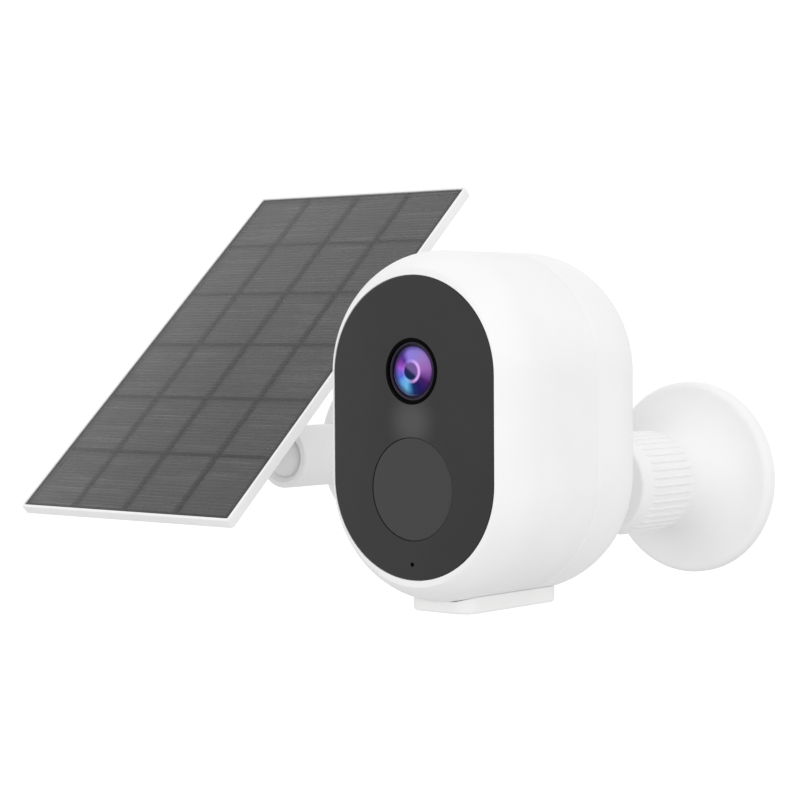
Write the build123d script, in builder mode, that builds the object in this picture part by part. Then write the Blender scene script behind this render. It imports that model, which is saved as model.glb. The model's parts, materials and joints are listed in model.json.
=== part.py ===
"""Solar-powered security camera: a battery camera head and a solar panel, each on its own wall ball mount.

The wall is the plane Y = 0, the object stands out towards -Y, and +Z is up. The origin is the centre of the
camera bracket's foot on the wall. All lengths are in millimetres and all angles in degrees.
"""

import os
from math import asin, cos, degrees, radians, sin, sqrt

from build123d import *

os.makedirs("parts", exist_ok=True)

# --- driving dimensions -------------------------------------------------------------------------------

# Wall brackets: both feet are the same moulding
FOOT_R = 29.6
FOOT_RIM = 4.7
SCREW_PLATE_R = 25.0
SCREW_PLATE_T = 3.0
SCREW_PCD = 34.0
SCREW_HOLE_R = 2.1
SCREW_HEAD_R = 4.1
PANEL_X, PANEL_Z = -124.4, 4.5

# Camera head: a stadium outline that swells behind its face, with a domed back
HEAD_Z = 20.26
HEAD_FRONT = -137.2
HEAD_BACK = -67.6
HEAD_SEAM = -98.7
PILL_HALF = 14.18
HEAD_R = 33.4
SWELL_R = 17.36
SWELL_ANGLE = 46.0
DOME_R = 21.0
WALL = 2.2
LEDGE_T = 2.0

# Face plate and what shows in it
PLATE_R = 27.58
PLATE_EASE = 1.05
PLATE_T = 1.5
LENS_Z = 35.4
LENS_R = 8.87
LENS_PROUD = 0.3
PIR_Z = 3.87
PIR_R = 13.84
MIC_Z = -16.26
MIC_R = 0.6
GLASS_R = 6.95
GLASS_DOME_R = 26.0
FIT_GAP = 0.06

# Ball mounts
CAM_BALL_R = 9.0
CAM_BALL_Y = -44.5
CAM_NUT_R = 15.3
CAM_NUT_FRONT = -49.0
CAM_NUT_BACK = -21.5
CAM_RIBS = 38
PANEL_BALL_R = 7.0
PANEL_BALL_Y = -51.6
PANEL_NUT_R = 10.2
PANEL_NUT_FRONT = -55.2
PANEL_NUT_BACK = -31.0
THREAD_R = 3.175
RUN_GAP = 0.06
CAM_CUP_WALL = 1.2
PANEL_CUP_WALL = 0.8
CAM_COLLAR_R, CAM_COLLAR_FRONT = 12.2, -41.0
PANEL_COLLAR_R, PANEL_COLLAR_FRONT = 9.0, -49.6
CAM_LIP_Y, CAM_MOUTH_R = -48.6, 8.35
PANEL_LIP_Y, PANEL_MOUTH_R = -53.8, 8.4
RIB_R = 0.62
RIB_SHORT = 5.2
RING_FLUTES = 24
CAM_STEM_R, CAM_STEM_L, CAM_THREAD_END = 2.8, 13.5, 32.2
PANEL_STEM_R, PANEL_STEM_L, PANEL_THREAD_END = 2.4, 12.0, 33.0
CAM_HEX_R, PANEL_HEX_R, HEX_T = 6.0, 4.6, 2.5
CAM_RING_BACK, CAM_RING_FRONT, CAM_RING_R = 17.7, 22.7, 9.0
PANEL_RING_BACK, PANEL_RING_FRONT, PANEL_RING_R = 18.6, 23.2, 7.4
CAM_NECK_R, CAM_NECK_Y = 13.6, -20.9
PANEL_NECK_R, PANEL_NECK_Y = 10.4, -30.4
CAM_CUP_ANGLE, PANEL_CUP_ANGLE = 36.0, 48.0

# Solar panel, leaning back, in its own frame: X across, Y up its length, Z out along its stem
PANEL_LEAN = 47.76
PANEL_FACE = 40.8
PANEL_OFFSET = 10.5
SHEET_W, SHEET_L = 90.4, 150.0
FRAME_W, FRAME_L = 92.5, 152.2
FRAME_CORNER = 1.3
SHEET_CORNER = 0.6
FRAME_T = 3.6
SHEET_T = 1.0
CELL_T = 0.3
BACKING_T = 1.0
CELL_PITCH_X, CELL_PITCH_Y, CELL_SPACE = 22.5, 24.9, 0.8
CELL_COLS, CELL_ROWS = 4, 6

# Rubber foot that covers the ports, under the head
COVER_W = 21.5
COVER_FRONT, COVER_BACK = -127.0, -84.6
COVER_BOTTOM = -30.2
PORT_W = 12.4
PORT_FRONT, PORT_BACK = -124.4, -100.6
PORT_CEILING = -23.95
BUTTON_TRAVEL = 0.5
BODY_GAP = 0.35

# Case: screws, seal, mounting insert and what is inside
SEAM_EDGE = 0.35
SEAL_R = 32.1
SEAL_W = 0.9
LEDGE_R = 25.0
BOSS_CIRCLE = 28.0
BOSS_R = 3.4
BOSS_DEPTH = 13.0
SCREW_SEAT_Y = -80.5
SCREW_WELL_R = 2.6
SCREW_HEAD_R_CASE = 2.4
SCREW_BODY_R = 1.3
SCREW_CORE_R = 1.3
INSERT_R = 5.0
INSERT_L = 10.0
CELL_R, CELL_L = 9.2, 65.0
CELL_Y, CELL_Z = -92.6, 23.4
HOLDER_FRONT, HOLDER_BACK = -102.3, -82.9
BOARD_T = 1.4
PIR_CAN_Y = -121.0
SPEAKER_R, SPEAKER_Z = 9.0, 36.5

# --- derived places -----------------------------------------------------------------------------------

TOP_Z = HEAD_Z + PILL_HALF
BOTTOM_Z = HEAD_Z - PILL_HALF
INNER_R = HEAD_R - WALL
SWELL_Y = HEAD_FRONT + SWELL_R * sin(radians(SWELL_ANGLE))
SWELL_X = HEAD_R - SWELL_R
LEDGE_Y = HEAD_FRONT + PLATE_T
BOARD_Y = LEDGE_Y + LEDGE_T
SHELL_BOTTOM = BOTTOM_Z - HEAD_R
STEM = (0, -cos(radians(PANEL_LEAN)), sin(radians(PANEL_LEAN)))
PANEL_BALL = Vector(PANEL_X, PANEL_BALL_Y, PANEL_Z)
PANEL_PLANE = Plane(origin=PANEL_BALL, x_dir=(1, 0, 0), z_dir=STEM)


def on_wall(depth, x=0.0, z=0.0):
    """Plane parallel to the wall at a depth, facing away from it: local x is X and local y is Z."""
    return Plane(origin=(x, depth, z), x_dir=(1, 0, 0), z_dir=(0, -1, 0))


def save(builder, label):
    """Label a finished sub-part and write its STEP file."""
    builder.part.label = label
    export_step(builder.part, f"parts/{label}.step")


# --- wall brackets ------------------------------------------------------------------------------------


def wall_plate(x, z):
    """Screw plate: a disc with three countersunk holes and three bayonet lugs, flat on the wall."""
    with BuildPart() as plate:
        with BuildSketch(on_wall(0, x, z)):
            Circle(SCREW_PLATE_R)
        extrude(amount=SCREW_PLATE_T)
        with BuildSketch(on_wall(1.0 - SCREW_PLATE_T, x, z)):
            with PolarLocations(SCREW_PLATE_R - 0.4, 3, start_angle=30):
                Rectangle(3.0, 8.0)
        extrude(amount=-1.0)
        with Locations(on_wall(-SCREW_PLATE_T, x, z)):
            with PolarLocations(SCREW_PCD / 2, 3, start_angle=90):
                CounterSinkHole(SCREW_HOLE_R, SCREW_HEAD_R)
    return plate


def flange(x, z, neck_r, neck_y, collar_r, collar_front, cup_r, ball_y):
    """Trumpet foot whose flare runs into a threaded collar with a ball socket in its end."""
    lip = FOOT_RIM - 2.2
    with BuildPart() as part:
        with BuildSketch(Plane(origin=(x, 0, z), x_dir=(1, 0, 0), z_dir=(0, 0, 1))):
            with BuildLine():
                Polyline((0, 0), (FOOT_R - 0.5, 0), (FOOT_R, -0.5), (FOOT_R, -lip))
                TangentArc((FOOT_R, -lip), (FOOT_R - 2.2, -FOOT_RIM), tangent=(0, -1))
                Bezier(
                    (FOOT_R - 2.2, -FOOT_RIM),
                    (FOOT_R - 9.5, -FOOT_RIM - 0.4),
                    (neck_r + 0.6, -FOOT_RIM - 5.5),
                    (neck_r, neck_y),
                )
                Polyline((neck_r, neck_y), (collar_r, neck_y), (collar_r, collar_front))
                Polyline((collar_r, collar_front), (0, collar_front), (0, 0))
            make_face()
        revolve(axis=Axis((x, 0, z), (0, 1, 0)), revolution_arc=360)
        with Locations((x, ball_y, z)):
            Sphere(cup_r, mode=Mode.SUBTRACT)
        with BuildSketch(on_wall(0, x, z)):
            Circle(SCREW_PLATE_R + 0.3)
            with PolarLocations(SCREW_PLATE_R - 0.2, 3, start_angle=30):
                Rectangle(3.8, 9.0)
        extrude(amount=SCREW_PLATE_T, mode=Mode.SUBTRACT)
    return part


def lock_nut(x, z, outer_r, back, front, ball_y, ball_r, lip_y, mouth_r, collar_r, collar_front, ribs):
    """Lock nut: a plain bore over the collar, a spherical seat that holds the ball, and a flared mouth."""
    seat_r = ball_r + RUN_GAP
    shoulder_y = collar_front - 0.4
    edge = 1.0

    def seat_at(y):
        return sqrt(seat_r**2 - (y - ball_y) ** 2), y

    with BuildPart() as part:
        with BuildSketch(Plane(origin=(x, 0, z), x_dir=(1, 0, 0), z_dir=(0, 0, 1))):
            with BuildLine():
                Polyline((mouth_r, front), (outer_r - edge, front), (outer_r, front + edge), (outer_r, back))
                Polyline((outer_r, back), (collar_r, back), (collar_r, shoulder_y), seat_at(shoulder_y))
                ThreePointArc(seat_at(shoulder_y), seat_at((shoulder_y + lip_y) / 2), seat_at(lip_y))
                Line(seat_at(lip_y), (mouth_r, front))
            make_face()
        revolve(axis=Axis((x, 0, z), (0, 1, 0)), revolution_arc=360)
        if ribs:
            with BuildSketch(on_wall(back, x, z)):
                with PolarLocations(outer_r - 0.05, ribs):
                    Circle(RIB_R)
            extrude(amount=back - front - RIB_SHORT)
    return part


def ball_cup(x, z, ball_y, ball_r, wall, half_angle):
    """Friction cup: a thin spherical cap between the ball's back and the socket."""
    inner, outer = ball_r + RUN_GAP, ball_r + RUN_GAP + wall

    def at(radius, angle):
        return radius * sin(radians(angle)), radius * cos(radians(angle))

    with BuildPart() as part:
        with BuildSketch(Plane(origin=(x, ball_y, z), x_dir=(1, 0, 0), z_dir=(0, 0, 1))):
            with BuildLine():
                ThreePointArc(at(inner, 0), at(inner, half_angle / 2), at(inner, half_angle))
                Line(at(inner, half_angle), at(outer, half_angle))
                ThreePointArc(at(outer, half_angle), at(outer, half_angle / 2), at(outer, 0))
                Line(at(outer, 0), at(inner, 0))
            make_face()
        revolve(axis=Axis((x, ball_y, z), (0, 1, 0)), revolution_arc=360)
    return part


def ball_stud(plane, ball_r, neck_r, neck_end, collar_r, collar_t, thread_end):
    """Ball stud on a plane whose z runs out along the stem: ball, neck, flats, then a quarter-inch thread."""
    with BuildPart() as part:
        with Locations(plane):
            Sphere(ball_r)
        with BuildSketch(plane):
            Circle(neck_r)
        extrude(amount=neck_end)
        with BuildSketch(plane.offset(neck_end)):
            RegularPolygon(collar_r, 6)
        extrude(amount=collar_t)
        with BuildSketch(plane.offset(neck_end + collar_t)):
            Circle(THREAD_R)
        extrude(amount=thread_end - neck_end - collar_t)
        chamfer(part.edges().filter_by(GeomType.CIRCLE).sort_by(Axis(plane.origin, plane.z_dir))[-1], 0.6)
    return part


def lock_ring(plane, back, front, ring_r):
    """Knurled thumb ring on the thread, which locks whatever is screwed on the stud."""
    with BuildPart() as part:
        with BuildSketch(plane.offset(back)):
            Circle(ring_r)
            Circle(THREAD_R + RUN_GAP, mode=Mode.SUBTRACT)
            with PolarLocations(ring_r + 0.35, RING_FLUTES):
                Circle(0.8, mode=Mode.SUBTRACT)
        extrude(amount=front - back)
    return part


for bracket, foot_x, foot_z in (("camera", 0.0, 0.0), ("panel", PANEL_X, PANEL_Z)):
    save(wall_plate(foot_x, foot_z), f"{bracket}_wall_plate")

CAM_SOCKET_R = CAM_BALL_R + 2 * RUN_GAP + CAM_CUP_WALL
PANEL_SOCKET_R = PANEL_BALL_R + 2 * RUN_GAP + PANEL_CUP_WALL
save(
    flange(0, 0, CAM_NECK_R, CAM_NECK_Y, CAM_COLLAR_R, CAM_COLLAR_FRONT, CAM_SOCKET_R, CAM_BALL_Y),
    "camera_flange",
)
save(
    flange(PANEL_X, PANEL_Z, PANEL_NECK_R, PANEL_NECK_Y, PANEL_COLLAR_R, PANEL_COLLAR_FRONT, PANEL_SOCKET_R,
           PANEL_BALL_Y),
    "panel_flange",
)
save(
    lock_nut(0, 0, CAM_NUT_R - RIB_R, CAM_NUT_BACK, CAM_NUT_FRONT, CAM_BALL_Y, CAM_BALL_R, CAM_LIP_Y,
             CAM_MOUTH_R, CAM_COLLAR_R + RUN_GAP, CAM_COLLAR_FRONT, CAM_RIBS),
    "camera_lock_nut",
)
save(
    lock_nut(PANEL_X, PANEL_Z, PANEL_NUT_R, PANEL_NUT_BACK, PANEL_NUT_FRONT, PANEL_BALL_Y, PANEL_BALL_R,
             PANEL_LIP_Y, PANEL_MOUTH_R, PANEL_COLLAR_R + RUN_GAP, PANEL_COLLAR_FRONT, 0),
    "panel_lock_nut",
)
save(ball_cup(0, 0, CAM_BALL_Y, CAM_BALL_R, CAM_CUP_WALL, CAM_CUP_ANGLE), "camera_ball_cup")
save(
    ball_cup(PANEL_X, PANEL_Z, PANEL_BALL_Y, PANEL_BALL_R, PANEL_CUP_WALL, PANEL_CUP_ANGLE),
    "panel_ball_cup",
)

CAM_STEM = on_wall(CAM_BALL_Y)
save(
    ball_stud(CAM_STEM, CAM_BALL_R, CAM_STEM_R, CAM_STEM_L, CAM_HEX_R, HEX_T, CAM_THREAD_END),
    "camera_ball_stud",
)
save(
    ball_stud(PANEL_PLANE, PANEL_BALL_R, PANEL_STEM_R, PANEL_STEM_L, PANEL_HEX_R, HEX_T, PANEL_THREAD_END),
    "panel_ball_stud",
)
save(lock_ring(CAM_STEM, CAM_RING_BACK, CAM_RING_FRONT, CAM_RING_R), "camera_lock_ring")
save(lock_ring(PANEL_PLANE, PANEL_RING_BACK, PANEL_RING_FRONT, PANEL_RING_R), "panel_lock_ring")


# --- camera head --------------------------------------------------------------------------------------


def pill(radius, mode=Mode.ADD):
    """Stadium about the middle of the current sketch plane, standing upright."""
    SlotCenterToCenter(2 * PILL_HALF, 2 * radius, rotation=90, mode=mode)


def face_outline(radius):
    """Outline of the dark face: a pill whose two ends are eased a little flatter."""
    Rectangle(2 * radius, 2 * PILL_HALF)
    with Locations((0, PILL_HALF), (0, -PILL_HALF)):
        Ellipse(radius, radius - PLATE_EASE)


def head_plane(depth):
    """Plane across the head at a depth, centred on the head."""
    return on_wall(depth, 0, HEAD_Z)


def pill_body(outline, mode=Mode.ADD):
    """Carry a half profile, given as a drawing function, round the head's stadium outline."""
    for z in (TOP_Z, BOTTOM_Z):
        with BuildSketch(Plane.XY.offset(z)) as half:
            with BuildLine():
                outline()
            make_face()
        revolve(half.sketch, axis=Axis((0, 0, z), (0, 1, 0)), revolution_arc=360, mode=mode)
    with BuildSketch(Plane.XY.offset(BOTTOM_Z)) as whole:
        with BuildLine():
            outline()
        make_face()
        mirror(about=Plane.YZ)
    extrude(whole.sketch, amount=2 * PILL_HALF, mode=mode)


def swell(angle, inset=0.0):
    """Point on the swell behind the face, at an angle from the side wall."""
    r = SWELL_R - inset
    return SWELL_X + r * cos(radians(angle)), SWELL_Y - r * sin(radians(angle))


def dome(angle, inset=0.0):
    """Point on the rounded shoulder of the back, at an angle from the side wall."""
    r = DOME_R - inset
    return HEAD_R - DOME_R + r * cos(radians(angle)), HEAD_BACK - DOME_R + r * sin(radians(angle))


def front_outer():
    """Outside of the front shell, from its face back to the seam."""
    Polyline((0, HEAD_SEAM), (0, HEAD_FRONT), swell(SWELL_ANGLE))
    ThreePointArc(swell(SWELL_ANGLE), swell(SWELL_ANGLE / 2), swell(0))
    Polyline(swell(0), (HEAD_R, HEAD_SEAM - SEAM_EDGE), (HEAD_R - SEAM_EDGE, HEAD_SEAM), (0, HEAD_SEAM))


def front_inner():
    """Inside of the front shell, behind the ledge that carries the face plate."""
    start = degrees(asin((SWELL_Y - BOARD_Y) / (SWELL_R - WALL)))
    Polyline((0, HEAD_SEAM), (0, BOARD_Y), swell(start, WALL))
    ThreePointArc(swell(start, WALL), swell(start / 2, WALL), swell(0, WALL))
    Polyline(swell(0, WALL), (INNER_R, HEAD_SEAM), (0, HEAD_SEAM))


def rear_outer():
    """Outside of the rear shell, from the seam to its domed back."""
    edge = ((HEAD_R - SEAM_EDGE, HEAD_SEAM), (HEAD_R, HEAD_SEAM + SEAM_EDGE))
    Polyline((0, HEAD_BACK), (0, HEAD_SEAM), *edge, dome(0))
    ThreePointArc(dome(0), dome(45), dome(90))
    Line(dome(90), (0, HEAD_BACK))


def rear_inner():
    """Inside of the rear shell."""
    Polyline((0, HEAD_BACK - WALL), (0, HEAD_SEAM), (INNER_R, HEAD_SEAM), dome(0, WALL))
    ThreePointArc(dome(0, WALL), dome(45, WALL), dome(90, WALL))
    Line(dome(90, WALL), (0, HEAD_BACK - WALL))


BOSS_X = BOSS_CIRCLE * cos(radians(30))
BOSS_RISE = BOSS_CIRCLE * sin(radians(30)) + PILL_HALF
BOSSES = [(side * BOSS_X, up * BOSS_RISE) for side in (-1, 1) for up in (-1, 1)]
PORT_MIDDLE = (PORT_FRONT + PORT_BACK) / 2
PORT_LENGTH = PORT_BACK - PORT_FRONT

with BuildPart() as front_shell:
    pill_body(front_outer)
    pill_body(front_inner, mode=Mode.SUBTRACT)
    # recess for the face plate, and the opening inside its ledge
    with BuildSketch(head_plane(LEDGE_Y)):
        face_outline(PLATE_R + FIT_GAP)
    extrude(amount=PLATE_T, mode=Mode.SUBTRACT)
    with BuildSketch(head_plane(BOARD_Y)):
        pill(LEDGE_R)
    extrude(amount=LEDGE_T, mode=Mode.SUBTRACT)
    # bosses that take the case screws
    with BuildSketch(head_plane(HEAD_SEAM)):
        with Locations(*BOSSES):
            Circle(BOSS_R)
    extrude(amount=BOSS_DEPTH)
    with BuildSketch(head_plane(HEAD_SEAM)):
        with Locations(*BOSSES):
            Circle(SCREW_CORE_R)
    extrude(amount=BOSS_DEPTH - 2.0, mode=Mode.SUBTRACT)
    # flat floor round the port opening, then the opening itself
    with Locations((0, PORT_MIDDLE, (SHELL_BOTTOM + 1.4 + PORT_CEILING) / 2)):
        Box(PORT_W + 5.0, PORT_LENGTH + 3.0, PORT_CEILING - SHELL_BOTTOM - 1.4)
    with Locations((0, PORT_MIDDLE, PORT_CEILING - 5)):
        Box(PORT_W, PORT_LENGTH, 10, mode=Mode.SUBTRACT)
save(front_shell, "front_shell")

with BuildPart() as rear_shell:
    pill_body(rear_outer)
    pill_body(rear_inner, mode=Mode.SUBTRACT)
    # tubes that carry the case screws, with a well for each head
    with BuildSketch(head_plane(SCREW_SEAT_Y)):
        with Locations(*BOSSES):
            Circle(BOSS_R)
    extrude(amount=SCREW_SEAT_Y - HEAD_SEAM)
    with BuildSketch(head_plane(HEAD_BACK)):
        with Locations(*BOSSES):
            Circle(SCREW_WELL_R)
    extrude(amount=HEAD_BACK - SCREW_SEAT_Y, mode=Mode.SUBTRACT)
    with BuildSketch(head_plane(HEAD_BACK)):
        with Locations(*BOSSES):
            Circle(SCREW_BODY_R + 0.15)
    extrude(amount=HEAD_BACK - HEAD_SEAM, mode=Mode.SUBTRACT)
    # boss for the brass mounting insert, on the bracket's axis
    with BuildSketch(on_wall(HEAD_BACK - 1.0)):
        Circle(INSERT_R + 2.4)
    extrude(amount=INSERT_L + 1.0)
    with BuildSketch(on_wall(HEAD_BACK)):
        Circle(INSERT_R)
    extrude(amount=INSERT_L, mode=Mode.SUBTRACT)
    # seal groove in the joint face
    with BuildSketch(head_plane(HEAD_SEAM)):
        pill(SEAL_R + SEAL_W / 2)
        pill(SEAL_R - SEAL_W / 2, mode=Mode.SUBTRACT)
    extrude(amount=-1.2, mode=Mode.SUBTRACT)
    # sound holes over the speaker
    with BuildSketch(on_wall(HEAD_BACK, 0, SPEAKER_Z)):
        with HexLocations(2.0, 3, 3):
            Circle(0.75)
    extrude(amount=WALL, mode=Mode.SUBTRACT)
save(rear_shell, "rear_shell")

with BuildPart() as shell_seal:
    with BuildSketch(head_plane(HEAD_SEAM)):
        pill(SEAL_R + SEAL_W / 2 - FIT_GAP)
        pill(SEAL_R - SEAL_W / 2 + FIT_GAP, mode=Mode.SUBTRACT)
    extrude(amount=-1.15)
save(shell_seal, "shell_seal")

with BuildPart() as case_screws:
    with BuildSketch(head_plane(SCREW_SEAT_Y)):
        with Locations(*BOSSES):
            Circle(SCREW_HEAD_R_CASE)
    extrude(amount=-1.8)
    with BuildSketch(head_plane(SCREW_SEAT_Y)):
        with Locations(*BOSSES):
            Circle(SCREW_BODY_R - 0.02)
    extrude(amount=SCREW_SEAT_Y - HEAD_SEAM + BOSS_DEPTH - 4.0)
    with BuildSketch(head_plane(SCREW_SEAT_Y + 1.8)):
        with Locations(*BOSSES):
            Rectangle(2.6, 0.6)
            Rectangle(0.6, 2.6)
    extrude(amount=0.9, mode=Mode.SUBTRACT)
save(case_screws, "case_screws")

with BuildPart() as mount_insert:
    with BuildSketch(on_wall(HEAD_BACK)):
        Circle(INSERT_R - 0.02)
        Circle(THREAD_R + RUN_GAP, mode=Mode.SUBTRACT)
    extrude(amount=INSERT_L)
save(mount_insert, "mount_insert")

with BuildPart() as front_plate:
    with BuildSketch(head_plane(LEDGE_Y)):
        face_outline(PLATE_R)
        with Locations((0, LENS_Z - HEAD_Z)):
            Circle(LENS_R + FIT_GAP, mode=Mode.SUBTRACT)
        with Locations((0, PIR_Z - HEAD_Z)):
            Circle(PIR_R + FIT_GAP, mode=Mode.SUBTRACT)
        with Locations((0, MIC_Z - HEAD_Z)):
            Circle(MIC_R, mode=Mode.SUBTRACT)
    extrude(amount=PLATE_T)
save(front_plate, "front_plate")

with BuildPart() as pir_window:
    with BuildSketch(on_wall(LEDGE_Y, 0, PIR_Z)):
        Circle(PIR_R)
    extrude(amount=PLATE_T)
    with BuildSketch(on_wall(LEDGE_Y, 0, PIR_Z)):
        Circle(PIR_R + 1.0)
    extrude(amount=-0.7)
save(pir_window, "pir_window")


def lens_ring(profile):
    """Turned lens part: a closed profile of (radius, depth behind the face) round the lens axis."""
    with BuildSketch(Plane(origin=(0, HEAD_FRONT, LENS_Z), x_dir=(1, 0, 0), z_dir=(0, 0, 1))) as section:
        with BuildLine():
            Polyline(*profile, close=True)
        make_face()
    revolve(section.sketch, axis=Axis((0, HEAD_FRONT, LENS_Z), (0, 1, 0)), revolution_arc=360)


with BuildPart() as lens_bezel:
    lens_ring([(7.9, -LENS_PROUD), (LENS_R, -LENS_PROUD), (LENS_R, 5.4), (7.2, 5.4), (7.2, 3.3), (7.9, 3.3)])
save(lens_bezel, "lens_bezel")

with BuildPart() as lens_retainer:
    lens_ring([(7.0, 0.35), (7.85, 0.35), (7.85, 3.2), (7.0, 3.2)])
save(lens_retainer, "lens_retainer")

with BuildPart() as lens_glass:
    with BuildSketch(on_wall(HEAD_FRONT + 3.2, 0, LENS_Z)):
        Circle(GLASS_R)
    extrude(amount=3.2 + LENS_PROUD)
    with Locations((0, HEAD_FRONT - LENS_PROUD + GLASS_DOME_R, LENS_Z)):
        Sphere(GLASS_DOME_R, mode=Mode.INTERSECT)
save(lens_glass, "lens_glass")

with BuildPart() as lens_barrel:
    lens_ring([(4.6, 5.5), (7.4, 5.5), (7.4, 19.0), (2.2, 19.0), (2.2, 16.0), (4.6, 10.0)])
save(lens_barrel, "lens_barrel")

with BuildPart() as inner_lenses:
    for depth, radius in ((6.6, 4.5), (9.0, 4.5)):
        with BuildSketch(on_wall(HEAD_FRONT + depth + 1.0, 0, LENS_Z)):
            Circle(radius)
        extrude(amount=1.6)
save(inner_lenses, "inner_lenses")

with BuildPart() as sensor_board:
    with BuildSketch(on_wall(HEAD_FRONT + 20.6, 0, LENS_Z)):
        RectangleRounded(24, 24, 2)
    extrude(amount=BOARD_T)
    with BuildSketch(on_wall(HEAD_FRONT + 19.2, 0, LENS_Z)):
        Rectangle(3.2, 2.6)
    extrude(amount=0.9)
save(sensor_board, "sensor_board")

LEDS = [(side * 17.0, LENS_Z - HEAD_Z + rise) for side in (-1, 1) for rise in (-4.5, 4.5)]

with BuildPart() as led_board:
    with BuildSketch(head_plane(BOARD_Y + 1.2)):
        pill(26.5)
        with Locations((0, LENS_Z - HEAD_Z)):
            Circle(LENS_R + 0.3, mode=Mode.SUBTRACT)
        with Locations((0, PIR_Z - HEAD_Z)):
            Circle(11.0, mode=Mode.SUBTRACT)
    extrude(amount=1.2)
save(led_board, "led_board")

with BuildPart() as infrared_leds:
    with BuildSketch(head_plane(BOARD_Y)):
        with Locations(*LEDS):
            RectangleRounded(3.4, 3.4, 0.5)
    extrude(amount=1.3)
save(infrared_leds, "infrared_leds")

with BuildPart() as microphone:
    with BuildSketch(on_wall(BOARD_Y, 0, MIC_Z)):
        Circle(2.0)
        Circle(0.5, mode=Mode.SUBTRACT)
    extrude(amount=1.5)
save(microphone, "microphone")

with BuildPart() as pir_sensor:
    with BuildSketch(on_wall(PIR_CAN_Y, 0, PIR_Z)):
        Circle(4.6)
    extrude(amount=0.5)
    with BuildSketch(on_wall(PIR_CAN_Y - 0.5, 0, PIR_Z)):
        Circle(4.05)
    extrude(amount=3.8)
save(pir_sensor, "pir_sensor")

with BuildPart() as pir_board:
    with BuildSketch(on_wall(PIR_CAN_Y + BOARD_T, 0, PIR_Z)):
        RectangleRounded(20, 20, 2)
    extrude(amount=BOARD_T)
save(pir_board, "pir_board")

with BuildPart() as main_board:
    with BuildSketch(on_wall(HOLDER_FRONT, 0, CELL_Z)):
        RectangleRounded(38, 62, 2)
    extrude(amount=BOARD_T)
    with BuildSketch(on_wall(HOLDER_FRONT - BOARD_T, 0, CELL_Z)):
        with Locations((0, 14)):
            Rectangle(12, 12)
        with Locations((-9, -8), (9, -8)):
            Rectangle(7, 9)
    extrude(amount=1.2)
save(main_board, "main_board")

with BuildPart() as battery_cells:
    with BuildSketch(Plane.XY.offset(CELL_Z - CELL_L / 2)):
        with Locations((-CELL_R - 0.4, CELL_Y), (CELL_R + 0.4, CELL_Y)):
            Circle(CELL_R)
    extrude(amount=CELL_L)
save(battery_cells, "battery_cells")

with BuildPart() as battery_holder:
    with BuildSketch(Plane.XY.offset(CELL_Z - CELL_L / 2 - 1.4)):
        with Locations((0, (HOLDER_FRONT + HOLDER_BACK) / 2)):
            Rectangle(39.2, HOLDER_BACK - HOLDER_FRONT)
    extrude(amount=CELL_L + 2.8)
    with BuildSketch(Plane.XY.offset(CELL_Z - CELL_L / 2)):
        with Locations((-CELL_R - 0.4, CELL_Y), (CELL_R + 0.4, CELL_Y)):
            Circle(CELL_R + 0.1)
    extrude(amount=CELL_L, mode=Mode.SUBTRACT)
save(battery_holder, "battery_holder")

with BuildPart() as antenna:
    with BuildSketch(Plane.XY.offset(CELL_Z + CELL_L / 2 + 1.4)):
        with Locations((0, -95)):
            Rectangle(30, 6)
    extrude(amount=0.4)
save(antenna, "antenna")

with BuildPart() as speaker:
    with BuildSketch(on_wall(HEAD_BACK - WALL, 0, SPEAKER_Z)):
        Circle(SPEAKER_R)
        Circle(SPEAKER_R - 2.5, mode=Mode.SUBTRACT)
    extrude(amount=1.0)
    with BuildSketch(on_wall(HEAD_BACK - WALL - 1.0, 0, SPEAKER_Z)):
        Circle(SPEAKER_R)
    extrude(amount=3.5)
save(speaker, "speaker")


# --- ports, buttons and the rubber cover under the head -----------------------------------------------

TRAY_TOP = -15.0
TRAY_FLOOR_T = 1.4
USB_Y = -119.0
BUTTON_X = 3.4
POWER_Y, RESET_Y = -110.6, -104.8
BUTTON_R = 1.7
FLANGE_R = 2.5
CARD_X, CARD_Y = -3.4, -107.6

with BuildPart() as port_tray:
    with Locations((0, PORT_MIDDLE, (PORT_CEILING + TRAY_TOP) / 2)):
        Box(PORT_W + 4.0, PORT_LENGTH + 2.0, TRAY_TOP - PORT_CEILING)
    with Locations((0, PORT_MIDDLE, (PORT_CEILING + TRAY_FLOOR_T + TRAY_TOP) / 2)):
        Box(PORT_W + 1.6, PORT_LENGTH - 0.4, TRAY_TOP - PORT_CEILING - TRAY_FLOOR_T, mode=Mode.SUBTRACT)
    with BuildSketch(Plane.XY.offset(PORT_CEILING)):
        with Locations((0, USB_Y)):
            RectangleRounded(3.5, 9.2, 1.7)
        with Locations((CARD_X, CARD_Y)):
            Rectangle(1.8, 12.4)
        with Locations((BUTTON_X, POWER_Y), (BUTTON_X, RESET_Y)):
            Circle(BUTTON_R + FIT_GAP)
    extrude(amount=TRAY_FLOOR_T, mode=Mode.SUBTRACT)
save(port_tray, "port_tray")

with BuildPart() as usb_port:
    with BuildSketch(Plane.XY.offset(PORT_CEILING)):
        with Locations((0, USB_Y)):
            RectangleRounded(3.26, 8.94, 1.6)
            RectangleRounded(2.56, 8.34, 1.27, mode=Mode.SUBTRACT)
    extrude(amount=7.2)
    with BuildSketch(Plane.XY.offset(PORT_CEILING + 1.2)):
        with Locations((0, USB_Y)):
            Rectangle(0.7, 6.7)
    extrude(amount=6.4)
    with BuildSketch(Plane.XY.offset(PORT_CEILING + 6.4)):
        with Locations((0, USB_Y)):
            RectangleRounded(3.26, 8.94, 1.6)
    extrude(amount=0.8)
save(usb_port, "usb_port")

with BuildPart() as card_slot:
    with BuildSketch(Plane.XY.offset(PORT_CEILING)):
        with Locations((CARD_X, CARD_Y)):
            Rectangle(1.7, 12.2)
            Rectangle(0.9, 11.2, mode=Mode.SUBTRACT)
    extrude(amount=8.0)
save(card_slot, "card_slot")

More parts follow.
